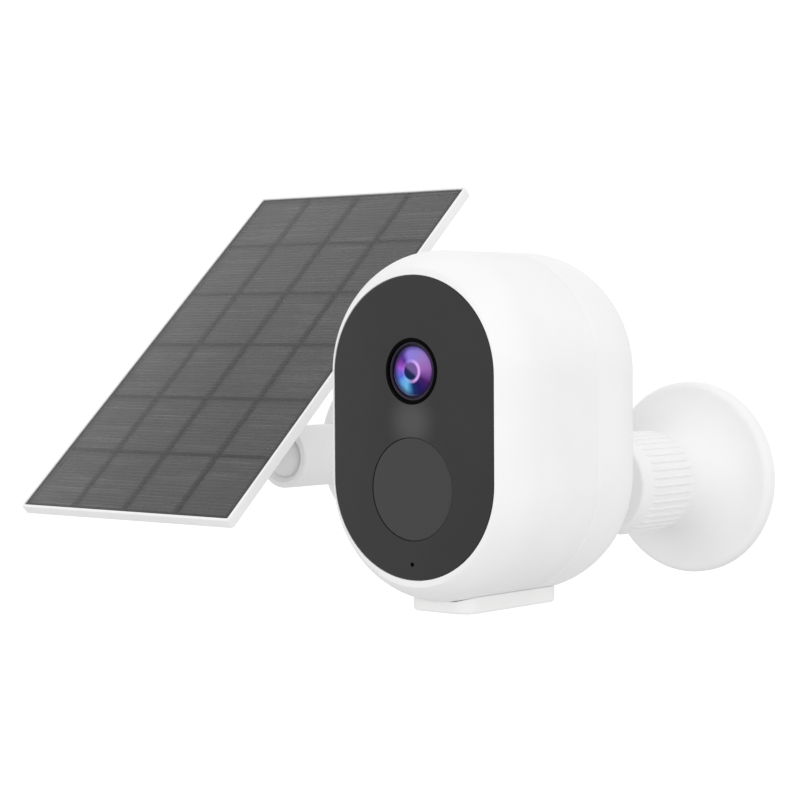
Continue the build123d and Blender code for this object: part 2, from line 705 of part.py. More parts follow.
with BuildPart() as port_board:
    with Locations((0, PORT_MIDDLE, TRAY_TOP + BOARD_T / 2)):
        Box(PORT_W + 4.0, PORT_LENGTH + 2.0, BOARD_T)
    switch_bottom = PORT_CEILING + TRAY_FLOOR_T + 1.0 + BUTTON_TRAVEL + 0.3
    with BuildSketch(Plane.XY.offset(switch_bottom)):
        with Locations((BUTTON_X, POWER_Y), (BUTTON_X, RESET_Y)):
            Rectangle(4.0, 4.0)
    extrude(amount=TRAY_TOP - switch_bottom)
save(port_board, "port_board")


def button(y):
    """Push button: a pin through the tray's floor with a collar behind it."""
    with BuildPart() as part:
        with BuildSketch(Plane.XY.offset(PORT_CEILING - 0.6)):
            with Locations((BUTTON_X, y)):
                Circle(BUTTON_R)
        extrude(amount=0.6 + TRAY_FLOOR_T + 0.1)
        with BuildSketch(Plane.XY.offset(PORT_CEILING + TRAY_FLOOR_T + 0.05)):
            with Locations((BUTTON_X, y)):
                Circle(FLANGE_R)
        extrude(amount=0.9)
        chamfer(part.edges().filter_by(GeomType.CIRCLE).sort_by(Axis.Z)[0], 0.25)
    return part


save(button(POWER_Y), "power_button")
save(button(RESET_Y), "reset_button")

COVER_MIDDLE = (COVER_FRONT + COVER_BACK) / 2
COVER_LENGTH = COVER_BACK - COVER_FRONT
COVER_TOP = -24.6
BUNG_TOP = PORT_CEILING - 1.1

with BuildPart() as port_cover:
    with BuildSketch(Plane.XY.offset(COVER_BOTTOM)):
        with Locations((0, COVER_MIDDLE)):
            RectangleRounded(COVER_W, COVER_LENGTH, 5.0)
    extrude(amount=COVER_TOP - COVER_BOTTOM)
    fillet(port_cover.edges().group_by(Axis.Z)[0], 0.9)
    # underside of the head, with a gap
    with BuildSketch(Plane(origin=(0, COVER_FRONT - 1, BOTTOM_Z), x_dir=(1, 0, 0), z_dir=(0, 1, 0))):
        Circle(HEAD_R + BODY_GAP)
    extrude(amount=COVER_LENGTH + 2, mode=Mode.SUBTRACT)
    with Locations((0, PORT_MIDDLE, (BUNG_TOP + COVER_BOTTOM + 1.5) / 2)):
        Box(PORT_W - 2 * BODY_GAP, PORT_LENGTH - 2 * BODY_GAP, BUNG_TOP - COVER_BOTTOM - 1.5)
save(port_cover, "port_cover")


# --- solar panel --------------------------------------------------------------------------------------


def panel_plane(height, up=PANEL_OFFSET):
    """Plane parallel to the panel at a height along the stem, centred on the panel unless told otherwise."""
    centre = PANEL_BALL + PANEL_PLANE.z_dir * height + PANEL_PLANE.y_dir * up
    return Plane(origin=centre, x_dir=(1, 0, 0), z_dir=STEM)


FRAME_BACK = PANEL_FACE + 0.3 - FRAME_T
PAN_T = 4.0
PAN_W, PAN_L = 76.0, 143.0
BACKING_BACK = PANEL_FACE - SHEET_T - CELL_T - BACKING_T
BOX_W, BOX_L, BOX_T = 56.0, 64.0, 5.0
POCKET_UP, POCKET_L = 12.0, 30.0
PANEL_BOSS_R = 9.0
PANEL_BOSS_BACK = 23.6
PAN_BACK = FRAME_BACK - PAN_T
BOX_BACK = PAN_BACK - BOX_T

with BuildPart() as panel_frame:
    with BuildSketch(panel_plane(FRAME_BACK)):
        RectangleRounded(FRAME_W, FRAME_L, FRAME_CORNER)
        Rectangle(PAN_W - 2.0, PAN_L - 2.0, mode=Mode.SUBTRACT)
    extrude(amount=FRAME_T)
    with BuildSketch(panel_plane(BACKING_BACK)):
        RectangleRounded(SHEET_W + 0.1, SHEET_L + 0.1, SHEET_CORNER)
    extrude(amount=10, mode=Mode.SUBTRACT)
save(panel_frame, "panel_frame")

with BuildPart() as panel_back:
    with BuildSketch(panel_plane(PAN_BACK)):
        RectangleRounded(PAN_W, PAN_L, 4.0)
    extrude(amount=PAN_T)
    with BuildSketch(panel_plane(BOX_BACK)):
        RectangleRounded(BOX_W, BOX_L, 6.0)
    extrude(amount=BOX_T)
    with BuildSketch(panel_plane(PANEL_BOSS_BACK, 0)):
        Circle(PANEL_BOSS_R)
    extrude(amount=PAN_BACK - PANEL_BOSS_BACK)
    # hollow for the charging board, and the bore for the insert
    with BuildSketch(panel_plane(BOX_BACK + 1.6)):
        with Locations((0, POCKET_UP)):
            RectangleRounded(BOX_W - 4, POCKET_L, 4.0)
    extrude(amount=20, mode=Mode.SUBTRACT)
    with BuildSketch(panel_plane(PANEL_BOSS_BACK, 0)):
        Circle(INSERT_R)
    extrude(amount=INSERT_L, mode=Mode.SUBTRACT)
    with BuildSketch(panel_plane(FRAME_BACK)):
        with GridLocations(PAN_W - 8, PAN_L - 8, 2, 2):
            Circle(1.2)
    extrude(amount=-PAN_T, mode=Mode.SUBTRACT)
save(panel_back, "panel_back")

with BuildPart() as panel_screws:
    with BuildSketch(panel_plane(PAN_BACK)):
        with GridLocations(PAN_W - 8, PAN_L - 8, 2, 2):
            Circle(2.2)
    extrude(amount=-1.2)
    with BuildSketch(panel_plane(PAN_BACK)):
        with GridLocations(PAN_W - 8, PAN_L - 8, 2, 2):
            Circle(1.18)
    extrude(amount=PAN_T)
save(panel_screws, "panel_screws")

with BuildPart() as panel_insert:
    with BuildSketch(panel_plane(PANEL_BOSS_BACK, 0)):
        Circle(INSERT_R - 0.02)
        Circle(THREAD_R + RUN_GAP, mode=Mode.SUBTRACT)
    extrude(amount=INSERT_L)
save(panel_insert, "panel_insert")

with BuildPart() as panel_backing:
    with BuildSketch(panel_plane(BACKING_BACK)):
        RectangleRounded(SHEET_W, SHEET_L, SHEET_CORNER)
    extrude(amount=BACKING_T)
save(panel_backing, "panel_backing")

with BuildPart() as solar_cells:
    with BuildSketch(panel_plane(BACKING_BACK + BACKING_T)):
        with GridLocations(CELL_PITCH_X, CELL_PITCH_Y, CELL_COLS, CELL_ROWS):
            Rectangle(CELL_PITCH_X - CELL_SPACE, CELL_PITCH_Y - CELL_SPACE)
    extrude(amount=CELL_T)
save(solar_cells, "solar_cells")

with BuildPart() as panel_sheet:
    with BuildSketch(panel_plane(PANEL_FACE - SHEET_T)):
        RectangleRounded(SHEET_W, SHEET_L, SHEET_CORNER)
    extrude(amount=SHEET_T)
save(panel_sheet, "panel_sheet")

with BuildPart() as charge_board:
    with BuildSketch(panel_plane(BOX_BACK + 1.6)):
        with Locations((0, POCKET_UP)):
            Rectangle(40.0, POCKET_L - 4)
    extrude(amount=BOARD_T)
    with BuildSketch(panel_plane(BOX_BACK + 1.6 + BOARD_T)):
        with Locations((-10, POCKET_UP + 2), (8, POCKET_UP - 2)):
            Rectangle(8, 8)
    extrude(amount=1.6)
save(charge_board, "charge_board")

with BuildPart() as cable_gland:
    gland_plane = Plane(
        origin=panel_plane((BOX_BACK + PAN_BACK) / 2, PANEL_OFFSET - BOX_L / 2).origin,
        x_dir=(1, 0, 0),
        z_dir=-PANEL_PLANE.y_dir,
    )
    with BuildSketch(gland_plane):
        Circle(2.0)
        Circle(1.4, mode=Mode.SUBTRACT)
    extrude(amount=8.0)
    with BuildSketch(gland_plane):
        Circle(2.4)
        Circle(1.4, mode=Mode.SUBTRACT)
    extrude(amount=2.0)
save(cable_gland, "cable_gland")
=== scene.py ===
"""Looks of a solar-powered security camera: a battery camera head and a solar panel, each on a ball mount.

The wall is the plane Y = 0, the object stands out from it towards -Y, and +Z is up. Sizes in the dataclasses
are millimetres, as on a maker's drawing, and MM turns them into the metres that meshes use.
"""

from __future__ import annotations
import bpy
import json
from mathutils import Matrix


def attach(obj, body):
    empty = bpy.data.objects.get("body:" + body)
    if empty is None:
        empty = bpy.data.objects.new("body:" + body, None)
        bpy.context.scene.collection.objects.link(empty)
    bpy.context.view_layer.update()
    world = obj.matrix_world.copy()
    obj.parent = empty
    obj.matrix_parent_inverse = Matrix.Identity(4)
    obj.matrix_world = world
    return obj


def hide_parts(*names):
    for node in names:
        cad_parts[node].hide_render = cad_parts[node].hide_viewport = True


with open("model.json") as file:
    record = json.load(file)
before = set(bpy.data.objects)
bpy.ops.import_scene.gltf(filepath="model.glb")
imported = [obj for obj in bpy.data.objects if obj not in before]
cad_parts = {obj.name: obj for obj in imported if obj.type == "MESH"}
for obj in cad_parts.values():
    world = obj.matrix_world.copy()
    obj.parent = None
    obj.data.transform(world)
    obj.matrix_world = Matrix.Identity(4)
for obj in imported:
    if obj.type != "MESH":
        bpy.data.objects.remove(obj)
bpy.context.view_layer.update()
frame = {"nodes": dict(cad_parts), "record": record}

import json
import logging
import math
from dataclasses import dataclass, field
from enum import Enum
from typing import Any, Sequence

import bmesh
import bpy
from mathutils import Matrix, Vector

LOG = logging.getLogger("solar_camera")
MM = 0.001
Point = tuple[float, float]
Colour = tuple[float, float, float]
CELL_GRID = {"Columns": 4, "Rows": 6, "Pitch Across": 22.5, "Pitch Up": 24.9}


# --- places and meshes --------------------------------------------------------------------------------


@dataclass(frozen=True)
class Place:
    """Where a piece sits: an origin in millimetres, and how its upright Y and outward Z lean about X."""

    origin: tuple[float, float, float]
    tip: float = math.pi / 2

    def matrix(self) -> Matrix:
        """Gives the transform from the piece's own millimetres to the row frame's metres."""
        shift = Matrix.Translation(Vector(self.origin) * MM)
        return shift @ Matrix.Rotation(self.tip, 4, "X") @ Matrix.Scale(MM, 4)


class Edge(Enum):
    """How a swept section ends: joined to its own start, or capped flat at both ends."""

    JOINED = "joined"
    CAPPED = "capped"


def finish_mesh(name: str, build: bmesh.types.BMesh, crease: float = 32.0) -> bpy.types.Object:
    """Welds a built mesh, turns its faces outwards, shades it smooth between creases and links it.

    Args:
        name: The piece's name.
        build: The mesh under construction, which is freed here.
        crease: The angle in degrees past which an edge stays sharp.

    Returns:
        The new object, at the origin, with its place in its mesh.
    """
    bmesh.ops.remove_doubles(build, verts=build.verts, dist=1e-7)
    bmesh.ops.dissolve_degenerate(build, edges=build.edges, dist=1e-8)
    bmesh.ops.recalc_face_normals(build, faces=build.faces)
    for face in build.faces:
        face.smooth = True
    for edge in build.edges:
        edge.smooth = edge.calc_face_angle(math.pi) < math.radians(crease)
    mesh = bpy.data.meshes.new(name)
    build.to_mesh(mesh)
    build.free()
    piece = bpy.data.objects.new(name, mesh)
    bpy.context.scene.collection.objects.link(piece)
    return piece


def loft(
    name: str, rings: Sequence[Sequence[Point]], depths: Sequence[float], place: Place, edge: Edge,
    crease: float = 32.0
) -> bpy.types.Object:
    """Skins a closed solid through rings that have the same number of points.

    Args:
        name: The piece's name.
        rings: The rings, each a closed list of (across, up) points.
        depths: How far out each ring lies.
        place: Where the piece sits.
        edge: Whether the last ring joins the first, or both ends are capped.
        crease: The angle past which an edge stays sharp.

    Returns:
        The piece.
    """
    build = bmesh.new()
    layers = [[build.verts.new((x, y, z)) for x, y in ring] for ring, z in zip(rings, depths)]
    pairs = list(zip(layers, layers[1:]))
    if edge is Edge.JOINED:
        pairs.append((layers[-1], layers[0]))
    count = len(layers[0])
    for low, high in pairs:
        for i in range(count):
            j = (i + 1) % count
            build.faces.new((low[i], low[j], high[j], high[i]))
    if edge is Edge.CAPPED:
        build.faces.new(layers[0])
        build.faces.new(layers[-1])
    build.transform(place.matrix())
    return finish_mesh(name, build, crease)


def stadium(radius: float, half: float, steps: int) -> list[Point]:
    """Gives an upright stadium outline of a radius about two centres, a circle where half is 0."""
    ring = []
    for sign, start in ((1, 0.0), (-1, math.pi)):
        for i in range(steps + 1):
            turn = start + math.pi * i / steps
            ring.append((radius * math.cos(turn), radius * math.sin(turn) + sign * half))
    return ring


def rounded_box(width: float, length: float, radius: float, steps: int = 6) -> list[Point]:
    """Gives a rectangle with rounded corners, centred, anticlockwise."""
    ring = []
    for quarter, (sx, sy) in enumerate(((1, 1), (-1, 1), (-1, -1), (1, -1))):
        for i in range(steps + 1):
            turn = math.pi / 2 * (quarter + i / steps)
            x = sx * (width / 2 - radius) + radius * math.cos(turn)
            ring.append((x, sy * (length / 2 - radius) + radius * math.sin(turn)))
    return ring


def turned(
    name: str, section: Sequence[Point], place: Place, half: float = 0.0, steps: int = 48,
    edge: Edge = Edge.JOINED
) -> bpy.types.Object:
    """Carries a section of (radius, depth) points round a circle or a stadium.

    Args:
        name: The piece's name.
        section: The section's points.
        place: Where the axis stands.
        half: Half the distance between a stadium's centres.
        steps: Steps in half a turn.
        edge: Whether the section closes on itself, or its ends are capped.

    Returns:
        The piece.
    """
    rings = [stadium(radius, half, steps) for radius, _ in section]
    return loft(name, rings, [depth for _, depth in section], place, edge)


def arc(centre: Point, radius: float, start: float, end: float, steps: int) -> list[Point]:
    """Gives points along an arc between two angles in degrees."""
    turns = [math.radians(start + (end - start) * i / steps) for i in range(steps + 1)]
    return [(centre[0] + radius * math.cos(t), centre[1] + radius * math.sin(t)) for t in turns]


def carve(piece: bpy.types.Object, tool: bpy.types.Object, operation: str = "DIFFERENCE") -> None:
    """Cuts a tool out of a piece, or welds it on, and removes the tool.

    Args:
        piece: The piece that changes.
        tool: The shape taken out or added, which is removed.
        operation: DIFFERENCE or UNION.
    """
    cut = piece.modifiers.new("cut", "BOOLEAN")
    cut.object, cut.operation, cut.solver = tool, operation, "EXACT"
    graph = bpy.context.evaluated_depsgraph_get()
    shape = bpy.data.meshes.new_from_object(piece.evaluated_get(graph), depsgraph=graph)
    piece.modifiers.remove(cut)
    build = bmesh.new()
    build.from_mesh(shape)
    name = piece.name
    for spare in (piece, tool):
        bpy.data.objects.remove(spare)
    bpy.data.meshes.remove(shape)
    fresh = finish_mesh(name, build)
    fresh.name = name


# --- node trees ---------------------------------------------------------------------------------------


class Wiring:
    """A short way to add nodes to a tree and to join them."""

    def __init__(self, tree: bpy.types.NodeTree) -> None:
        """Keeps the tree that nodes go into."""
        self.tree = tree

    def add(self, kind: str, inputs: dict[Any, Any] | None = None, **settings: Any) -> bpy.types.Node:
        """Adds a node.

        Args:
            kind: The node's type.
            inputs: Values for its sockets, or output sockets of other nodes to join to them.
            settings: Values for its own properties, set before its sockets.

        Returns:
            The node.
        """
        node = self.tree.nodes.new(kind)
        for key, value in settings.items():
            setattr(node, key, value)
        for key, value in (inputs or {}).items():
            if isinstance(value, bpy.types.NodeSocket):
                self.tree.links.new(value, node.inputs[key])
            else:
                node.inputs[key].default_value = value
        return node

    def math(self, operation: str, first: Any, second: Any = 0.0, third: Any = 0.0) -> bpy.types.NodeSocket:
        """Adds a Math node and gives its value."""
        return self.add("ShaderNodeMath", {0: first, 1: second, 2: third}, operation=operation).outputs[0]

    def vector(self, parts: dict[str, Any]) -> bpy.types.NodeSocket:
        """Adds a Combine XYZ node and gives its vector."""
        return self.add("ShaderNodeCombineXYZ", parts).outputs[0]

    def noise(self, place: bpy.types.NodeSocket, scale: Any, detail: float) -> bpy.types.NodeSocket:
        """Adds a Noise node and gives its value."""
        return self.add("ShaderNodeTexNoise", {"Vector": place, "Scale": scale, "Detail": detail}).outputs[0]


class Repeat:
    """A Geometry Nodes tree with named inputs that ends in realised, dressed geometry."""

    def __init__(self, name: str, sizes: dict[str, float | int]) -> None:
        """Makes the tree with its inputs.

        Args:
            name: The tree's name.
            sizes: The inputs' names and first values. A whole number makes a whole-number socket.
        """
        self.tree = bpy.data.node_groups.new(name, "GeometryNodeTree")
        face = self.tree.interface
        self.keys: dict[str, str] = {}
        for label, value in sizes.items():
            kind = "NodeSocketInt" if isinstance(value, int) else "NodeSocketFloat"
            socket = face.new_socket(label, in_out="INPUT", socket_type=kind)
            socket.default_value = value
            self.keys[label] = socket.identifier
        for label, kind in (
            ("Origin", "NodeSocketVector"), ("Turn", "NodeSocketVector"), ("Finish", "NodeSocketMaterial")
        ):
            self.keys[label] = face.new_socket(label, in_out="INPUT", socket_type=kind).identifier
        face.new_socket("Geometry", in_out="OUTPUT", socket_type="NodeSocketGeometry")
        self.wire = Wiring(self.tree)
        self.given = self.wire.add("NodeGroupInput").outputs

    def end(self, shape: bpy.types.NodeSocket) -> None:
        """Places the shape, realises its instances, sets its finish and ends the tree."""
        add = self.wire.add
        turn = add("FunctionNodeEulerToRotation", {"Euler": self.given["Turn"]}).outputs[0]
        move = {
            "Geometry": shape, "Translation": self.given["Origin"], "Rotation": turn, "Scale": (MM, MM, MM)
        }
        placed = add("GeometryNodeTransform", move).outputs[0]
        solid = add("GeometryNodeRealizeInstances", {"Geometry": placed}).outputs[0]
        dressed = add(
            "GeometryNodeSetMaterial", {"Geometry": solid, "Material": self.given["Finish"]}
        ).outputs[0]
        add("NodeGroupOutput", {0: dressed})

    def make(
        self, name: str, place: Place, finish: bpy.types.Material, **sizes: float | int
    ) -> bpy.types.Object:
        """Runs the tree once and keeps its result as a plain mesh.

        Args:
            name: The piece's name.
            place: Where it sits.
            finish: Its material.
            sizes: Values for the named inputs, with underscores for spaces.

        Returns:
            The piece, with no modifier left on it.
        """
        host = bpy.data.objects.new(name + "_host", bpy.data.meshes.new(name + "_host"))
        bpy.context.scene.collection.objects.link(host)
        nodes = host.modifiers.new("repeat", "NODES")
        nodes.node_group = self.tree
        for label, value in sizes.items():
            nodes[self.keys[label.replace("_", " ")]] = value
        nodes[self.keys["Origin"]] = tuple(Vector(place.origin) * MM)
        nodes[self.keys["Turn"]] = (place.tip, 0.0, 0.0)
        nodes[self.keys["Finish"]] = finish
        graph = bpy.context.evaluated_depsgraph_get()
        shape = bpy.data.meshes.new_from_object(host.evaluated_get(graph), depsgraph=graph)
        host.modifiers.remove(nodes)
        build = bmesh.new()
        build.from_mesh(shape)
        bpy.data.objects.remove(host)
        fresh = finish_mesh(name, build)
        fresh.data.materials.append(finish)
        return fresh


def rib_tree() -> Repeat:
    """Builds the tree of soft-ended ribs that stand round an axis, as on a lock nut or a thumb ring."""
    tree = Repeat(
        "ribs_round_axis",
        {"Count": 38, "Ring Radius": 14.3, "Rib Radius": 0.6, "Start": 28.0, "Length": 16.0},
    )
    add, join, given = tree.wire.add, tree.wire.math, tree.given
    start = tree.wire.vector({"Z": given["Start"]})
    end = tree.wire.vector({"Z": join("ADD", given["Start"], given["Length"])})
    line = add("GeometryNodeCurvePrimitiveLine", {"Start": start, "End": end}).outputs[0]
    steps = add("GeometryNodeResampleCurve", {"Curve": line, "Count": 11}).outputs[0]
    along = add("GeometryNodeSplineParameter").outputs["Factor"]
    swing = join("ABSOLUTE", join("MULTIPLY_ADD", along, 2.0, -1.0))
    full = join("SQRT", join("SUBTRACT", 1.03, join("POWER", swing, 8.0)))
    profile = add(
        "GeometryNodeCurvePrimitiveCircle", {"Resolution": 8, "Radius": given["Rib Radius"]}
    ).outputs[0]
    tube = add(
        "GeometryNodeCurveToMesh",
        {"Curve": steps, "Profile Curve": profile, "Scale": full, "Fill Caps": True},
    )
    ring = add(
        "GeometryNodeMeshCircle", {"Vertices": given["Count"], "Radius": given["Ring Radius"]}
    ).outputs[0]
    stood = add("GeometryNodeInstanceOnPoints", {"Points": ring, "Instance": tube.outputs[0]}).outputs[0]
    tree.end(stood)
    return tree


def wafer_tree() -> Repeat:
    """Builds the tree of thin rounded slabs in rows and columns, as solar cells lie on their backing."""
    sizes = CELL_GRID | {"Width": 21.5, "Length": 23.9, "Corner": 0.8, "Thickness": 0.3, "Depth": 38.5}
    tree = Repeat("wafers_in_rows", sizes)
    add, join, given = tree.wire.add, tree.wire.math, tree.given
    outline = {"Width": given["Width"], "Height": given["Length"]}
    box = add("GeometryNodeCurvePrimitiveQuadrilateral", outline).outputs[0]
    soft = {"Curve": box, "Radius": given["Corner"], "Count": 3}
    rounded = add("GeometryNodeFilletCurve", soft, mode="POLY").outputs[0]
    floor = add("GeometryNodeFillCurve", {"Curve": rounded}, mode="NGONS").outputs[0]
    rise = {"Mesh": floor, "Offset Scale": given["Thickness"], "Individual": False}
    raised = add("GeometryNodeExtrudeMesh", rise).outputs[0]
    under = add("GeometryNodeFlipFaces", {"Mesh": floor}).outputs[0]
    both = add("GeometryNodeJoinGeometry", {0: raised})
    tree.tree.links.new(under, both.inputs[0])
    tree.end(grid_of(tree, both.outputs[0]))
    return tree


def grid_of(tree: Repeat, shape: bpy.types.NodeSocket) -> bpy.types.NodeSocket:
    """Stands a shape at every point of the tree's grid of rows and columns.

    Args:
        tree: A tree with Columns, Rows, Pitch Across, Pitch Up and Depth inputs.
        shape: The geometry to repeat.

    Returns:
        The instances' socket.
    """
    add, join, given = tree.wire.add, tree.wire.math, tree.given
    across = join("MULTIPLY", given["Pitch Across"], join("SUBTRACT", given["Columns"], 1.0))
    up = join("MULTIPLY", given["Pitch Up"], join("SUBTRACT", given["Rows"], 1.0))
    sizes = {"Size X": across, "Size Y": up, "Vertices X": given["Columns"], "Vertices Y": given["Rows"]}
    points = add("GeometryNodeMeshGrid", sizes).outputs[0]
    lift = tree.wire.vector({"Z": given["Depth"]})
    raised = add("GeometryNodeTransform", {"Geometry": points, "Translation": lift}).outputs[0]
    return add("GeometryNodeInstanceOnPoints", {"Points": raised, "Instance": shape}).outputs[0]


def finger_tree() -> Repeat:
    """Builds the tree of fine printed lines that cross every cell."""
    sizes = CELL_GRID | {"Width": 20.7, "Fingers": 16, "Finger Pitch": 1.4, "Line": 0.14, "Depth": 38.8}
    tree = Repeat("fingers_on_cells", sizes)
    add, join, given = tree.wire.add, tree.wire.math, tree.given
    size = tree.wire.vector({"X": given["Width"], "Y": given["Line"], "Z": 0.05})
    strip = add("GeometryNodeMeshCube", {"Size": size}).outputs[0]
    half = join(
        "MULTIPLY", join("SUBTRACT", given["Fingers"], 1.0), join("MULTIPLY", given["Finger Pitch"], -0.5)
    )
    low = tree.wire.vector({"Y": half})
    gap = tree.wire.vector({"Y": given["Finger Pitch"]})
    ladder = {"Count": given["Fingers"], "Start Location": low, "Offset": gap}
    line = add("GeometryNodeMeshLine", ladder, mode="OFFSET").outputs[0]
    rungs = add("GeometryNodeInstanceOnPoints", {"Points": line, "Instance": strip}).outputs[0]
    tree.end(grid_of(tree, rungs))
    return tree


def screw_tree() -> Repeat:
    """Builds the tree of cross-headed screws that stand at the corners of a rectangle."""
    sizes = {"Columns": 2, "Rows": 2, "Pitch Across": 47.0, "Pitch Up": 55.0, "Depth": 77.0}
    sizes |= {"Head Radius": 2.4, "Head Height": 1.8, "Slot": 0.6, "Shank Radius": 1.28, "Shank Length": 24.0}
    tree = Repeat("cross_head_screws", sizes)
    add, join, given = tree.wire.add, tree.wire.math, tree.given

    def rod(radius: Any, height: Any, middle: Any, sides: int) -> bpy.types.NodeSocket:
        """Gives an upright rod with its middle at a height."""
        solid = add(
            "GeometryNodeMeshCylinder", {"Vertices": sides, "Radius": radius, "Depth": height}
        ).outputs[0]
        lift = tree.wire.vector({"Z": middle})
        return add("GeometryNodeTransform", {"Geometry": solid, "Translation": lift}).outputs[0]

    head = rod(given["Head Radius"], given["Head Height"], join("MULTIPLY", given["Head Height"], -0.5), 28)
    slots = []
    long_side = join("MULTIPLY", given["Head Radius"], 1.15)
    for sides in ((long_side, given["Slot"]), (given["Slot"], long_side)):
        size = tree.wire.vector({"X": sides[0], "Y": sides[1], "Z": given["Head Height"]})
        slots.append(add("GeometryNodeMeshCube", {"Size": size}).outputs[0])
    cut = add("GeometryNodeMeshBoolean", {"Mesh 1": head}, operation="DIFFERENCE", solver="EXACT")
    for slot_shape in slots:
        tree.tree.links.new(slot_shape, cut.inputs["Mesh 2"])
    low = join("MULTIPLY_ADD", given["Shank Length"], -0.5, join("MULTIPLY", given["Head Height"], -1.0))
    shank = rod(given["Shank Radius"], given["Shank Length"], low, 16)
    both = add("GeometryNodeJoinGeometry", {0: cut.outputs[0]})
    tree.tree.links.new(shank, both.inputs[0])
    tree.end(grid_of(tree, both.outputs[0]))
    return tree


# --- shared surface effects ---------------------------------------------------------------------------


class Effect(Enum):
    """Shader node groups that more than one finish uses."""

    GRAIN = "moulded_grain"
    HANDLING = "handling_marks"
    TURNING = "turning_lines"


def group_shell(name: str, inputs: dict[str, float], outputs: dict[str, str]) -> tuple[Wiring, Any, Any]:
    """Makes an empty shader group with a vector input, value inputs and its outputs.

    Args:
        name: The group's name.
        inputs: Value inputs and their defaults.
        outputs: Output names and their socket types.

    Returns:
        The wiring, the inputs' sockets and the group's end node.
    """
    tree = bpy.data.node_groups.new(name, "ShaderNodeTree")
    tree.interface.new_socket("Vector", in_out="INPUT", socket_type="NodeSocketVector")
    for label, value in inputs.items():
        tree.interface.new_socket(label, in_out="INPUT", socket_type="NodeSocketFloat").default_value = value
    for label, kind in outputs.items():
        tree.interface.new_socket(label, in_out="OUTPUT", socket_type=kind)
    wire = Wiring(tree)
    return wire, wire.add("NodeGroupInput").outputs, wire.add("NodeGroupOutput")


def grain_group() -> None:
    """Moulded grain: a broad cloudy tone and a fine height, both varying over the surface."""
    wire, given, end = group_shell(
        Effect.GRAIN.value, {"Cloud Scale": 40.0, "Grain Scale": 2500.0},
        {"Tone": "NodeSocketFloat", "Height": "NodeSocketFloat"}
    )
    add = wire.add
    cloud = wire.noise(given["Vector"], given["Cloud Scale"], 3.0)
    fine = wire.noise(given["Vector"], given["Grain Scale"], 2.0)
    pits = add("ShaderNodeTexVoronoi", {"Vector": given["Vector"], "Scale": given["Grain Scale"]})
    height = wire.math("ADD", fine, wire.math("MULTIPLY", pits.outputs[0], 0.5))
    wire.tree.links.new(cloud, end.inputs["Tone"])
    wire.tree.links.new(height, end.inputs["Height"])


def handling_group() -> None:
    """Handling marks: sparse streaks where a surface has been rubbed, as a mask."""
    wire, given, end = group_shell(
        Effect.HANDLING.value, {"Scale": 160.0, "Amount": 0.3}, {"Mask": "NodeSocketFloat"}
    )
    add = wire.add
    long = add(
        "ShaderNodeMapping",
        {"Vector": given["Vector"], "Rotation": (0.3, 0.7, 0.2), "Scale": (1.0, 0.12, 0.5)},
    )
    streak = wire.noise(long.outputs[0], given["Scale"], 5.0)
    patch = wire.noise(given["Vector"], 28.0, 1.0)
    keep = wire.math("MULTIPLY", streak, patch)
    limits = {"Value": keep, "From Min": 0.27, "From Max": 0.42, "To Max": given["Amount"]}
    shown = add("ShaderNodeMapRange", limits).outputs[0]
    wire.tree.links.new(shown, end.inputs["Mask"])


def turning_group() -> None:
    """Turning lines: fine rings about the piece's own Y axis, as a tone and a height."""
    wire, given, end = group_shell(
        Effect.TURNING.value, {"Scale": 900.0}, {"Tone": "NodeSocketFloat", "Height": "NodeSocketFloat"}
    )
    add = wire.add
    squeezed = add("ShaderNodeMapping", {"Vector": given["Vector"], "Scale": (0.05, 1.0, 0.05)})
    lines = wire.noise(squeezed.outputs[0], given["Scale"], 3.0)
    blotch = wire.noise(given["Vector"], 200.0, 2.0)
    tone = wire.math("MULTIPLY", wire.math("ADD", lines, blotch), 0.5)
    wire.tree.links.new(tone, end.inputs["Tone"])
    wire.tree.links.new(lines, end.inputs["Height"])


# --- finishes -----------------------------------------------------------------------------------------


